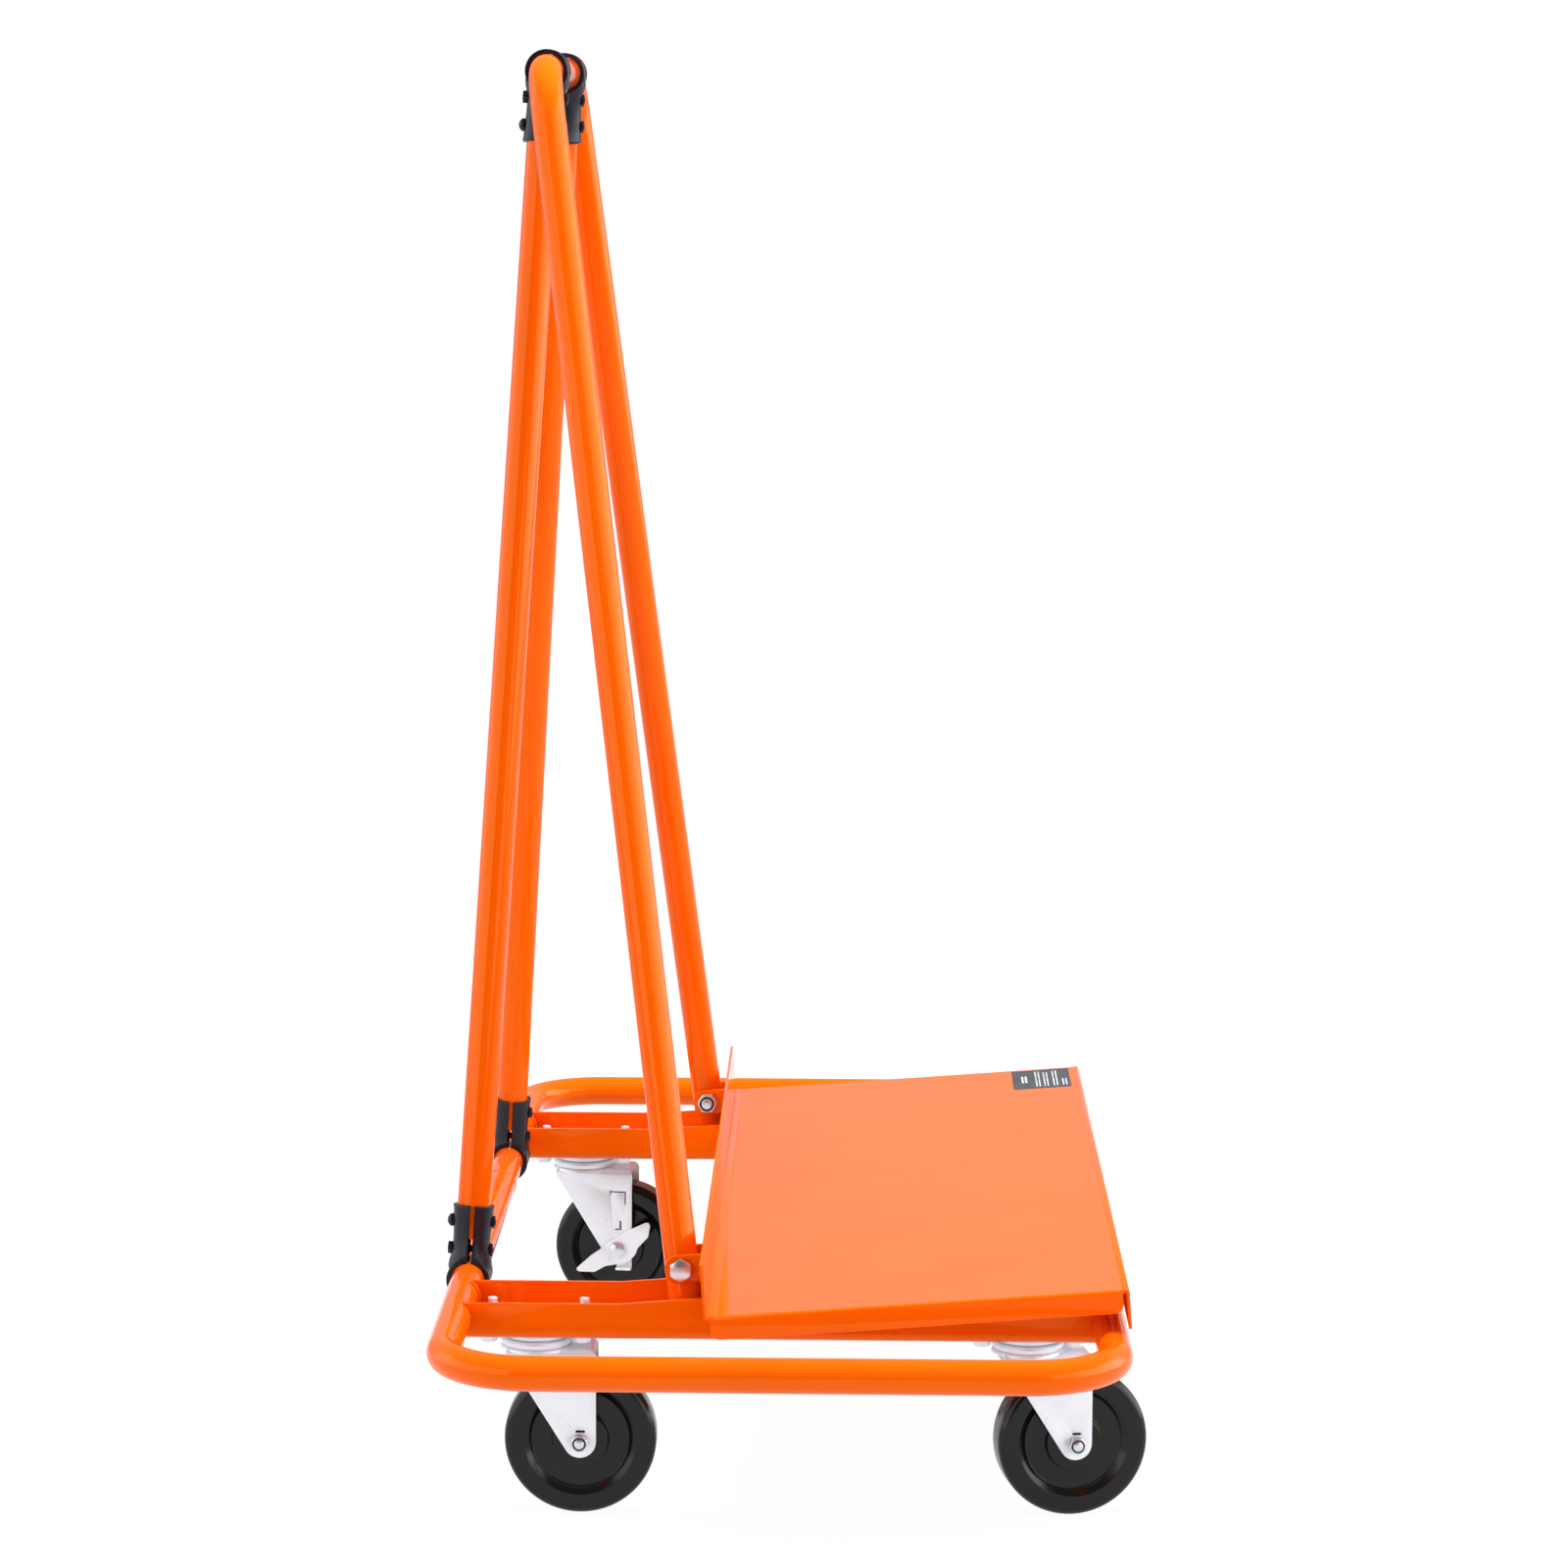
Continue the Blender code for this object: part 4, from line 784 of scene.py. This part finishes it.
def make_hoop_fasteners(name, end):
    """The bolt through the bracket and the leg, and its nut with a rolled crown and a nylon insert."""
    bolt = hoop_points(end)[1]
    face = 20.3 * MM
    outward = Matrix.Translation(bolt) @ along((0, end, 0))
    inward = Matrix.Translation(bolt) @ along((0, -end, 0))
    flange = lathe([(HOOP_BOLT_R, face), (8.1 * MM, face), (8.1 * MM, face + 0.5 * MM),
                    (HOOP_BOLT_R, face + 0.5 * MM)], 48, closed=True)
    head = moved(hex_body(9.6 * MM, face + 0.5 * MM, face + 6.4 * MM),
                 Matrix.Rotation(math.radians(30.0), 4, "Z"))
    tip = thread(HOOP_BOLT_R, face - 0.4 * MM, face + 11.1 * MM, 1.5 * MM)
    screw = merged("bolt", [moved(merged("head", [flange, head]), outward), moved(tip, inward),
                            moved(cylinder(HOOP_BOLT_R, -face, face), outward)])
    piece(f"hoop_bolt_{name}_screw", screw, ZINC_SMALL, "frame", "zinc_plate", f"hoop_bolt_{name}")
    nut = hex_body(9.4 * MM, face, face + 8.0 * MM, 4.9 * MM, True)
    crown = lathe([(6.9 * MM, face + 7.6 * MM)] + arc((7.6 * MM, face + 8.4 * MM), 0.7 * MM, 180, 0, 8) +
                  [(8.3 * MM, face + 7.6 * MM)], 64, closed=True)
    piece(f"hoop_nut_{name}_hex", moved(merged("nut", [nut, crown]), inward), ZINC_SMALL, "frame",
          "zinc_plate", f"hoop_nut_{name}")
    insert = washer(5.1 * MM, 6.9 * MM, face + 7.2 * MM, face + 8.7 * MM)
    piece(f"hoop_nut_{name}_insert", moved(insert, inward), INSERT, "frame", "zinc_plate")


def leg_ends(end):
    return Vector((CX - RING_X, end * LEG_FOOT_Y, RING_Z)), Vector((BAR_X, end * LEG_TOP_Y, BAR_Z))


def clamp_frame(crossing, run):
    """Local Z along the leg, local Y towards the crossed tube's end, at the centre lines' crossing."""
    leg = run.normalized()
    cross = Vector((0, math.copysign(1.0, leg.y), 0))
    across = (cross - leg * leg.dot(cross)).normalized()
    normal = across.cross(leg)
    return Matrix.Translation(crossing) @ Matrix((normal, across, leg)).transposed().to_4x4()


def make_back_leg(name, end):
    foot, top = leg_ends(end)
    run = (top - foot).normalized()
    path = [foot + run * LEG_END_GAP, foot + run * 200 * MM, top - run * 200 * MM,
            top - run * LEG_END_GAP]
    piece(f"back_leg_{name}_tube", tube("leg", path, sides=56), ORANGE, "frame", "orange_powder_coat",
          f"back_leg_{name}")


def clamp_half(side):
    """One pressed half of a T-clamp, with flared mouth, rolled lips and a clear slot."""
    foot, top = leg_ends(-1)
    lean = math.asin((top - foot).normalized().y)
    tube_axis = Vector((0, math.cos(lean), math.sin(lean)))
    on_tube = along(tube_axis)
    bore = 14.3 * MM
    sleeve = lathe([(r * MM, z * MM) for r, z in (
        (17.0, 0), (18.6, 8), (18.0, 13), (16.6, 18), (15.9, 23), (15.7, 29), (15.9, 37), (16.6, 46),
        (17.0, 56.5), (17.3, 57.6), (17.5, 59), (17.2, 60))], 72)
    lip = 19.0 * MM
    collar = lathe([(17.4 * MM, -lip), (18.3 * MM, -lip + 0.8 * MM), (18.1 * MM, -lip + 2.0 * MM),
                    (17.6 * MM, -lip + 3.2 * MM), (17.6 * MM, lip - 3.2 * MM), (18.1 * MM, lip - 2.0 * MM),
                    (18.3 * MM, lip - 0.8 * MM), (17.4 * MM, lip)], 72)
    body = boolean(sleeve, [moved(collar, on_tube)], "UNION")
    cuts = [moved(cylinder(bore, -70 * MM, 70 * MM, 72), on_tube),
            cylinder(bore, 3.5 * MM, 90 * MM, 72)]
    for half_slot, low, high in ((1.75 * MM, 0.0, 90 * MM), (0.12 * MM, -CUT, 1 * MM)):
        away = sorted((side * half_slot, -side * CUT))
        cuts.append(box_mesh((away[0], -CUT, low), (away[1], CUT, high)))
    return bevelled(boolean(body, cuts), 0.4 * MM, 2, 42)


def clamp_screw(square):
    """A clamp bolt along local X: head at -X, nut at +X."""
    face = 15.2 * MM if square else 16.4 * MM
    to_back = along((-1, 0, 0))
    to_load = along((1, 0, 0))
    if square:
        r = 5.5 * MM
        corner = rounded([(r, 0), (0, r), (-r, 0), (0, -r)], 0.6 * MM, True, 3)
        head = bevelled(slab(corner, face, 19.6 * MM), 0.4 * MM, 2, 50)
    else:
        head = lathe([(5.5 * MM, face), (5.5 * MM, 18.4 * MM)] +
                     arc((0.0, 15.1 * MM), 6.4 * MM, 31, 86, 10), 48)
    nut = hex_body(5.4 * MM, face, 18.2 * MM if square else 18.9 * MM, 2.9 * MM, True)
    tail = thread(CLAMP_BOLT_R, face, 18.6 * MM if square else 19.3 * MM, 1.0 * MM, 32)
    shank = cylinder(CLAMP_BOLT_R, -face, face, 32)
    return merged("screw", [moved(head, to_back), moved(nut, to_load), moved(tail, to_load),
                            moved(shank, to_load)])


def make_clamps():
    halves = {side: clamp_half(side) for side in (-1, 1)}
    screws = (clamp_screw(True), clamp_screw(False))
    for name, end in (("front", -1), ("rear", 1)):
        foot, top = leg_ends(end)
        for level, at in (("lower", clamp_frame(foot, top - foot)),
                          ("upper", clamp_frame(top, foot - top))):
            label = f"{level}_{name}"
            load_side = 1 if at.col[0].x > 0 else -1
            for side, mesh in halves.items():
                half = "load" if side == load_side else "back"
                piece(f"clamp_{label}_{half}_pressing", moved(mesh, at), STEEL, "frame", "black_steel",
                      f"clamp_{label}_{half}")
            head_back = Matrix.Rotation(0.0 if load_side > 0 else math.pi, 4, "Z")
            for (where, reach), mesh in zip(CLAMP_BOLT_REACH.items(), screws):
                move = at @ Matrix.Translation((0, 0, reach)) @ head_back
                piece(f"clamp_bolt_{label}_{where}_screw", moved(mesh, move), STEEL, "frame", "black_steel",
                      f"clamp_bolt_{label}_{where}")


# ------------------------------------------------------------------- casters

def caster_plate():
    """The top plate with its pressed race and its four bolts, nuts up and heads down."""
    outline = rounded([(-49 * MM, -33 * MM), (49 * MM, -33 * MM), (49 * MM, 33 * MM), (-49 * MM, 33 * MM)],
                      6 * MM, True, 8)
    plate = bevelled(slab(outline, PLATE_BOTTOM_Z, PLATE_TOP_Z), 0.6 * MM, 2, 50)
    race = lathe([(6.4 * MM, 152.6 * MM), (24.6 * MM, 152.6 * MM)] +
                 arc((24.6 * MM, 150.2 * MM), 2.4 * MM, 90, 0, 6) +
                 [(27.0 * MM, 148.6 * MM)] + arc((25.4 * MM, 148.3 * MM), 1.6 * MM, 0, -90, 5) +
                 [(6.4 * MM, 146.7 * MM)], 96, closed=True)
    parts = [plate, race]
    for x in (-PLATE_BOLT_X, PLATE_BOLT_X):
        for y in (-PLATE_BOLT_Y, PLATE_BOLT_Y):
            down = Matrix.Translation((x, y, PLATE_BOTTOM_Z)) @ UPSIDE_DOWN
            up = Matrix.Translation((x, y, 158.5 * MM))
            parts += [moved(washer(4.3 * MM, 8.4 * MM, -0.1 * MM, 1.3 * MM), down),
                      moved(hex_body(7.4 * MM, 1.3 * MM, 5.3 * MM), down),
                      moved(washer(4.3 * MM, 8.2 * MM, 0.05 * MM, 1.4 * MM), up),
                      moved(hex_body(7.4 * MM, 1.4 * MM, 6.8 * MM, 3.9 * MM, True), up),
                      moved(thread(PLATE_BOLT_R, -6.0 * MM, 13.7 * MM, 1.25 * MM), up)]
    return merged("plate", parts)


def kingpin():
    under = 136.8 * MM
    return lathe([(KINGPIN_R, PLATE_TOP_Z), (KINGPIN_R, under), (9.5 * MM, under),
                  (9.5 * MM, under - 1.4 * MM)] +
                 arc((7.9 * MM, under - 1.4 * MM), 1.6 * MM, 0, -80, 5), 64)


def swivel_race():
    high, low, out, fold = 146.4 * MM, 140.4 * MM, 30.0 * MM, 2.4 * MM
    return lathe([(6.6 * MM, high), (out - fold, high)] + arc((out - fold, high - fold), fold, 90, 0, 7) +
                 [(out - 0.7 * MM, low + 2.2 * MM), (out - 1.6 * MM, low), (6.6 * MM, low)], 96,
                 closed=True)


def fork_side():
    """Side view of a fork leg, from the swivel to its round end at the axle."""
    back, front = -24.0 * MM, TRAIL + FORK_END_R
    shoulder = Vector((back, 134.1 * MM))
    to_axle = Vector((TRAIL, WHEEL_R)) - shoulder
    dip = math.asin(FORK_END_R / to_axle.length) - math.atan2(to_axle.y, to_axle.x)
    corner_z = shoulder.y - (front - back) * math.tan(dip)
    return rounded([(back, CROWN_Z), shoulder, (front, corner_z), (front, CROWN_Z)],
                   [3 * MM, 3 * MM, FORK_END_R, 7 * MM], True, 14)


def stadium(length, width, count=10):
    """A slot's outline with round ends, lengthways along local X."""
    r = width / 2
    line = length / 2 - r
    pts = [(line + r * math.cos(a), r * math.sin(a)) for a in np.linspace(-math.pi / 2, math.pi / 2, count)]
    return pts + [(-x, -y) for x, y in pts]


def fork(has_brake):
    """A folded fork with a dished crown and pressed slots; a braked one has lances and a stop tab."""
    line = rounded([(-FORK_OUTER, 30 * MM), (-FORK_OUTER, CROWN_Z), (FORK_OUTER, CROWN_Z),
                    (FORK_OUTER, 30 * MM)], 5.5 * MM, False, 10)
    body = moved(slab(thick_path(line, FORK_GAUGE), -40 * MM, 70 * MM), ALONG_X)
    side = slab(fork_side(), -40 * MM, 40 * MM)
    shape = boolean(body, [moved(side, UPRIGHT)], "INTERSECT")
    at_axle = Matrix.Translation((TRAIL, 0, WHEEL_R)) @ UPRIGHT
    at_slot = Matrix.Translation((TRAIL + 0.5 * MM, 0, WHEEL_R + 8.6 * MM)) @ UPRIGHT
    tools = [cylinder(6.6 * MM, 120 * MM, 160 * MM, 48),
             moved(cylinder(4.4 * MM, -40 * MM, 40 * MM), at_axle),
             moved(slab(stadium(8.0 * MM, 2.2 * MM), -40 * MM, 40 * MM), at_slot)]
    if has_brake:
        for dx, dz, length, width, turn in ((0.0, 56.0, 15.0, 1.3, Matrix()),
                                            (-7.2, 55.0, 5.0, 1.2, QUARTER_TURN),
                                            (7.2, 50.0, 13.0, 1.2, QUARTER_TURN),
                                            (2.5, 24.0, 8.0, 1.7, QUARTER_TURN),
                                            (0.5, 19.6, 7.0, 1.2, Matrix())):
            lance = slab(stadium(length * MM, width * MM), 19.0 * MM, 24.0 * MM)
            place = Matrix.Translation((TRAIL + dx * MM, 0, WHEEL_R + dz * MM)) @ UPRIGHT
            tools.append(moved(lance, place @ turn))
    dish_r, dish_fold = 28.2 * MM, 1.6 * MM
    parts = [bevelled(boolean(shape, tools), 0.5 * MM, 2, 45),
             lathe([(6.8 * MM, CROWN_Z), (dish_r, CROWN_Z)] +
                   arc((dish_r, CROWN_Z - dish_fold), dish_fold, 90, 0, 4) +
                   [(30.0 * MM, CROWN_Z - 3.0 * MM), (6.8 * MM, CROWN_Z - 3.0 * MM)], 96, closed=True)]
    if has_brake:
        x0, x1 = TRAIL - 1.3 * MM, TRAIL + FORK_END_R
        z0 = WHEEL_R - 19.0 * MM
        neck = box_mesh((x0, -FORK_OUTER, z0), (x1, -FORK_INNER, WHEEL_R - 6.65 * MM))
        tab = box_mesh((x0, -FORK_OUTER - 7.0 * MM, z0), (x1, -FORK_INNER, z0 + 2.5 * MM))
        parts.append(bevelled(boolean(neck, [tab], "UNION"), 0.5 * MM, 2, 45))
    return merged("fork", parts)


def axle(has_brake):
    """The axle bolt and its nut's insert; the head is on the brake's side, or else on the other side."""
    nut = 23.3 * MM
    head = nut + (3.3 * MM if has_brake else 0.0)
    flip = Matrix() if has_brake else UPSIDE_DOWN
    crown = lathe([(5.5 * MM, nut + 6.3 * MM)] + arc((6.0 * MM, nut + 6.9 * MM), 0.5 * MM, 180, 0, 8) +
                  [(6.5 * MM, nut + 6.3 * MM)], 64, closed=True)
    nut_side = [washer(4.2 * MM, 6.9 * MM, nut - 0.25 * MM, nut + 1.0 * MM),
                hex_body(7.0 * MM, nut + 1.0 * MM, nut + 6.5 * MM, 3.9 * MM, True), crown,
                thread(AXLE_R, nut - 0.5 * MM, nut + 8.8 * MM, 1.25 * MM)]
    screw = merged("axle", [cylinder(AXLE_R, -nut, head),
                            washer(4.2 * MM, 8.0 * MM, head - 0.25 * MM, head + 1.0 * MM),
                            hex_body(7.4 * MM, head + 1.0 * MM, head + 5.3 * MM)] +
                   [moved(mesh, UPSIDE_DOWN) for mesh in nut_side])
    insert = moved(washer(4.05 * MM, 5.5 * MM, nut + 6.1 * MM, nut + 7.1 * MM), UPSIDE_DOWN)
    return moved(screw, flip), moved(insert, flip)


def wheel():
    """A solid moulded wheel: round shoulders, a stepped rim, a sunk disc and a raised hub."""
    half, hub = 16.0 * MM, 18.5 * MM
    disc = half - 5.0 * MM
    upper = ([(7.4 * MM, hub), (21.6 * MM, hub)] + arc((21.6 * MM, hub - 1.4 * MM), 1.4 * MM, 90, 0, 6) +
             [(23.2 * MM, disc + 1.6 * MM)] + arc((24.8 * MM, disc + 1.6 * MM), 1.6 * MM, 180, 270, 5) +
             [(32.0 * MM, disc - 0.2 * MM)] + arc((39.4 * MM, disc + 1.6 * MM), 1.6 * MM, 270, 320, 4) +
             [(44.6 * MM, half - 1.0 * MM)] + arc((46.6 * MM, half - 1.3 * MM), 1.3 * MM, 140, 90, 5) +
             [(55.2 * MM, half)] + arc((55.5 * MM, half - 7.0 * MM), 7.0 * MM, 84, 4, 14) +
             [(WHEEL_R, 0.55 * MM)])
    profile = upper + [(WHEEL_R, 0.0)] + [(r, -z) for r, z in reversed(upper)]
    return lathe(profile, 128, closed=True)


def eased_copy(node):
    """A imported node's shape with its flat faces joined and its edges eased."""
    source = bpy.data.meshes.new_from_object(node)
    source.materials.clear()
    bm = bmesh.new()
    bm.from_mesh(source)
    bmesh.ops.remove_doubles(bm, verts=bm.verts, dist=1e-6)
    bmesh.ops.dissolve_limit(bm, angle_limit=math.radians(1.0), verts=bm.verts, edges=bm.edges)
    bm.to_mesh(source)
    bm.free()
    return bevelled(source, 0.45 * MM, 3, 25)


def make_casters():
    plate, pin, race = caster_plate(), kingpin(), swivel_race()
    forks = {brake: fork(brake) for brake in (False, True)}
    axles = {brake: axle(brake) for brake in (False, True)}
    wheel_mesh = wheel()
    for name in ("front_back", "front_load", "rear_back", "rear_load"):
        spot = Vector(JOINTS[f"swivel_{name}"]["pos_m"])
        spot.z = 0.0
        spin = JOINTS[f"wheel_spin_{name}"]["axis"]
        heading = math.atan2(-spin[0], spin[1])
        brake = f"brake_{name}" in JOINTS
        screw, insert = axles[brake]
        at_frame = Matrix.Translation(spot)
        at_swivel = at_frame @ Matrix.Rotation(heading, 4, "Z")
        at_axle = at_swivel @ Matrix.Translation((TRAIL, 0, WHEEL_R)) @ UPRIGHT
        swivel = f"swivel_{name}"
        for kind, part, mesh, place, look, body in (
                ("caster_plate", "pressing", plate, at_frame, ZINC, "frame"),
                ("kingpin", "rivet", pin, at_frame, ZINC_SMALL, "frame"),
                ("swivel_race", "ring", race, at_swivel, ZINC, swivel),
                ("fork", "pressing", forks[brake], at_swivel, ZINC, swivel),
                ("axle_bolt", "screw", screw, at_axle, ZINC_SMALL, swivel)):
            piece(f"{kind}_{name}_{part}", moved(mesh, place), look, body, "zinc_plate", f"{kind}_{name}")
        piece(f"axle_bolt_{name}_insert", moved(insert, at_axle), INSERT, swivel, "zinc_plate")
        piece(f"wheel_{name}_moulding", moved(wheel_mesh, at_axle), BLACK, f"wheel_{name}",
              "black_wheel", f"wheel_{name}")
        if brake:
            piece(f"brake_lever_{name}_pressing", eased_copy(frame["nodes"][f"brake_lever_{name}"]),
                  ZINC, f"brake_{name}", "zinc_plate", f"brake_lever_{name}")


# --------------------------------------------------------------------- build

make_ring()
make_deck()
make_label()
for end_name, end_side in (("front", -1), ("rear", 1)):
    make_channel(end_name, end_side)
    make_bracket(end_name, end_side)
    make_hoop_fasteners(end_name, end_side)
    make_back_leg(end_name, end_side)
make_hoop()
make_clamps()
make_casters()

CAD_FINISH = {"bushing_nylon": NYLON}
for node_name, node in frame["nodes"].items():
    if SLOT_OF[node_name] in CAD_FINISH:
        node.data.materials.clear()
        node.data.materials.append(CAD_FINISH[SLOT_OF[node_name]])


# --------------------------------------------------------- floor and lighting

def grey(level):
    return (level, level, level)


def make_floor():
    """A pale floor that glows: near white to the camera, with painted shade near the cart, while other rays find a
    dimmer painted glow that lights the cart, dark far in front.
    """
    mesh = mesh_of("floor", [(-12, -12, 0), (12, -12, 0), (12, 14, 0), (-12, 14, 0)], [(0, 1, 2, 3)])
    floor = bpy.data.objects.new("floor", mesh)
    bpy.context.scene.collection.objects.link(floor)
    material, tree, shader, coords = new_material("pale_floor", Roughness=0.9)
    shader.inputs["Specular IOR Level"].default_value = 0.0
    tone = mix_colour(tree, noise(tree, coords, 3.0), grey(0.10), grey(0.11))
    tree.links.new(tone, shader.inputs["Base Color"])
    split = tree.nodes.new("ShaderNodeSeparateXYZ")
    tree.links.new(coords, split.inputs[0])
    length = tree.nodes.new("ShaderNodeVectorMath")
    length.operation = "LENGTH"
    tree.links.new(coords, length.inputs[0])
    # Painted light: to rays other than the camera's the floor glows and lights the cart from below and behind,
    # dark far in front.
    painted_floor_glow = mix_colour(tree, ramp(tree, split.outputs["Y"], -2.7, -2.1), grey(0.03), grey(0.78))
    # Painted shade: to the camera the floor's glow is dimmer near the cart, so its cast shadow shows.
    seen_with_painted_shade = mix_colour(tree, ramp(tree, length.outputs["Value"], 0.7, 2.0), grey(0.94), grey(1.0))
    camera_ray = tree.nodes.new("ShaderNodeLightPath").outputs["Is Camera Ray"]
    tree.links.new(mix_colour(tree, camera_ray, painted_floor_glow, seen_with_painted_shade), shader.inputs["Emission Color"])
    shader.inputs["Emission Strength"].default_value = 1.0
    mesh.materials.append(material)
    floor.location.z = -0.2 * MM


def area_light(name, place, target, width, height, power):
    """A softbox that lights the object and doesn't show in its reflections."""
    data = bpy.data.lights.new(name, "AREA")
    data.shape = "RECTANGLE"
    data.size, data.size_y = width, height
    data.energy = power
    light = bpy.data.objects.new(name, data)
    bpy.context.scene.collection.objects.link(light)
    aim = Vector(target) - Vector(place)
    light.matrix_world = Matrix.Translation(place) @ aim.to_track_quat("-Z", "Y").to_matrix().to_4x4()
    light.visible_glossy = False


def math_node(tree, operation, *values):
    node = tree.nodes.new("ShaderNodeMath")
    node.operation = operation
    for socket, value in zip(node.inputs, values):
        if isinstance(value, float):
            socket.default_value = value
        else:
            tree.links.new(value, socket)
    return node.outputs[0]


def make_world():
    """A studio by direction: dark in front, a white wall on each side, grey behind and above."""
    world = bpy.data.worlds.new("studio")
    bpy.context.scene.world = world
    world.use_nodes = True
    tree = world.node_tree
    background = tree.nodes["Background"]
    coords = tree.nodes.new("ShaderNodeTexCoord").outputs["Generated"]
    split = tree.nodes.new("ShaderNodeSeparateXYZ")
    tree.links.new(coords, split.inputs[0])
    to_front = math_node(tree, "MULTIPLY", split.outputs["Y"], -1.0)
    angle = math_node(tree, "ARCTAN2", split.outputs["X"], to_front)
    wide = math_node(tree, "ABSOLUTE", angle)
    tone = mix_colour(tree, ramp(tree, angle, -0.46, -0.36, 1.0, 0.0), grey(0.02), grey(1.9))
    tone = mix_colour(tree, ramp(tree, angle, 0.42, 0.50), tone, grey(1.9))
    tone = mix_colour(tree, ramp(tree, angle, 0.75, 1.25), tone, grey(3.6))
    tone = mix_colour(tree, ramp(tree, wide, 2.0, 2.4), tone, (0.42, 0.42, 0.43))
    tone = mix_colour(tree, ramp(tree, split.outputs["Z"], 0.42, 0.60), tone, grey(0.22))
    camera_ray = tree.nodes.new("ShaderNodeLightPath").outputs["Is Camera Ray"]
    shown = mix_colour(tree, camera_ray, tone, grey(1.0))
    tree.links.new(shown, background.inputs["Color"])
    background.inputs["Strength"].default_value = 1.0


make_floor()
make_world()
area_light("left_box", (-3.2, -2.2, 1.05), (0, 0, 0.75), 0.9, 1.8, 26)
area_light("right_box", (3.2, -2.0, 0.95), (0, 0, 0.60), 0.7, 1.7, 18)
area_light("top_box", (0.3, 0.2, 3.4), (0.05, 0, 0.2), 2.0, 2.0, 225)
area_light("front_fill", (0.3, -5.2, 2.0), (0, 0, 0.5), 3.0, 1.6, 12)
bpy.context.scene.view_settings.view_transform = "Standard"
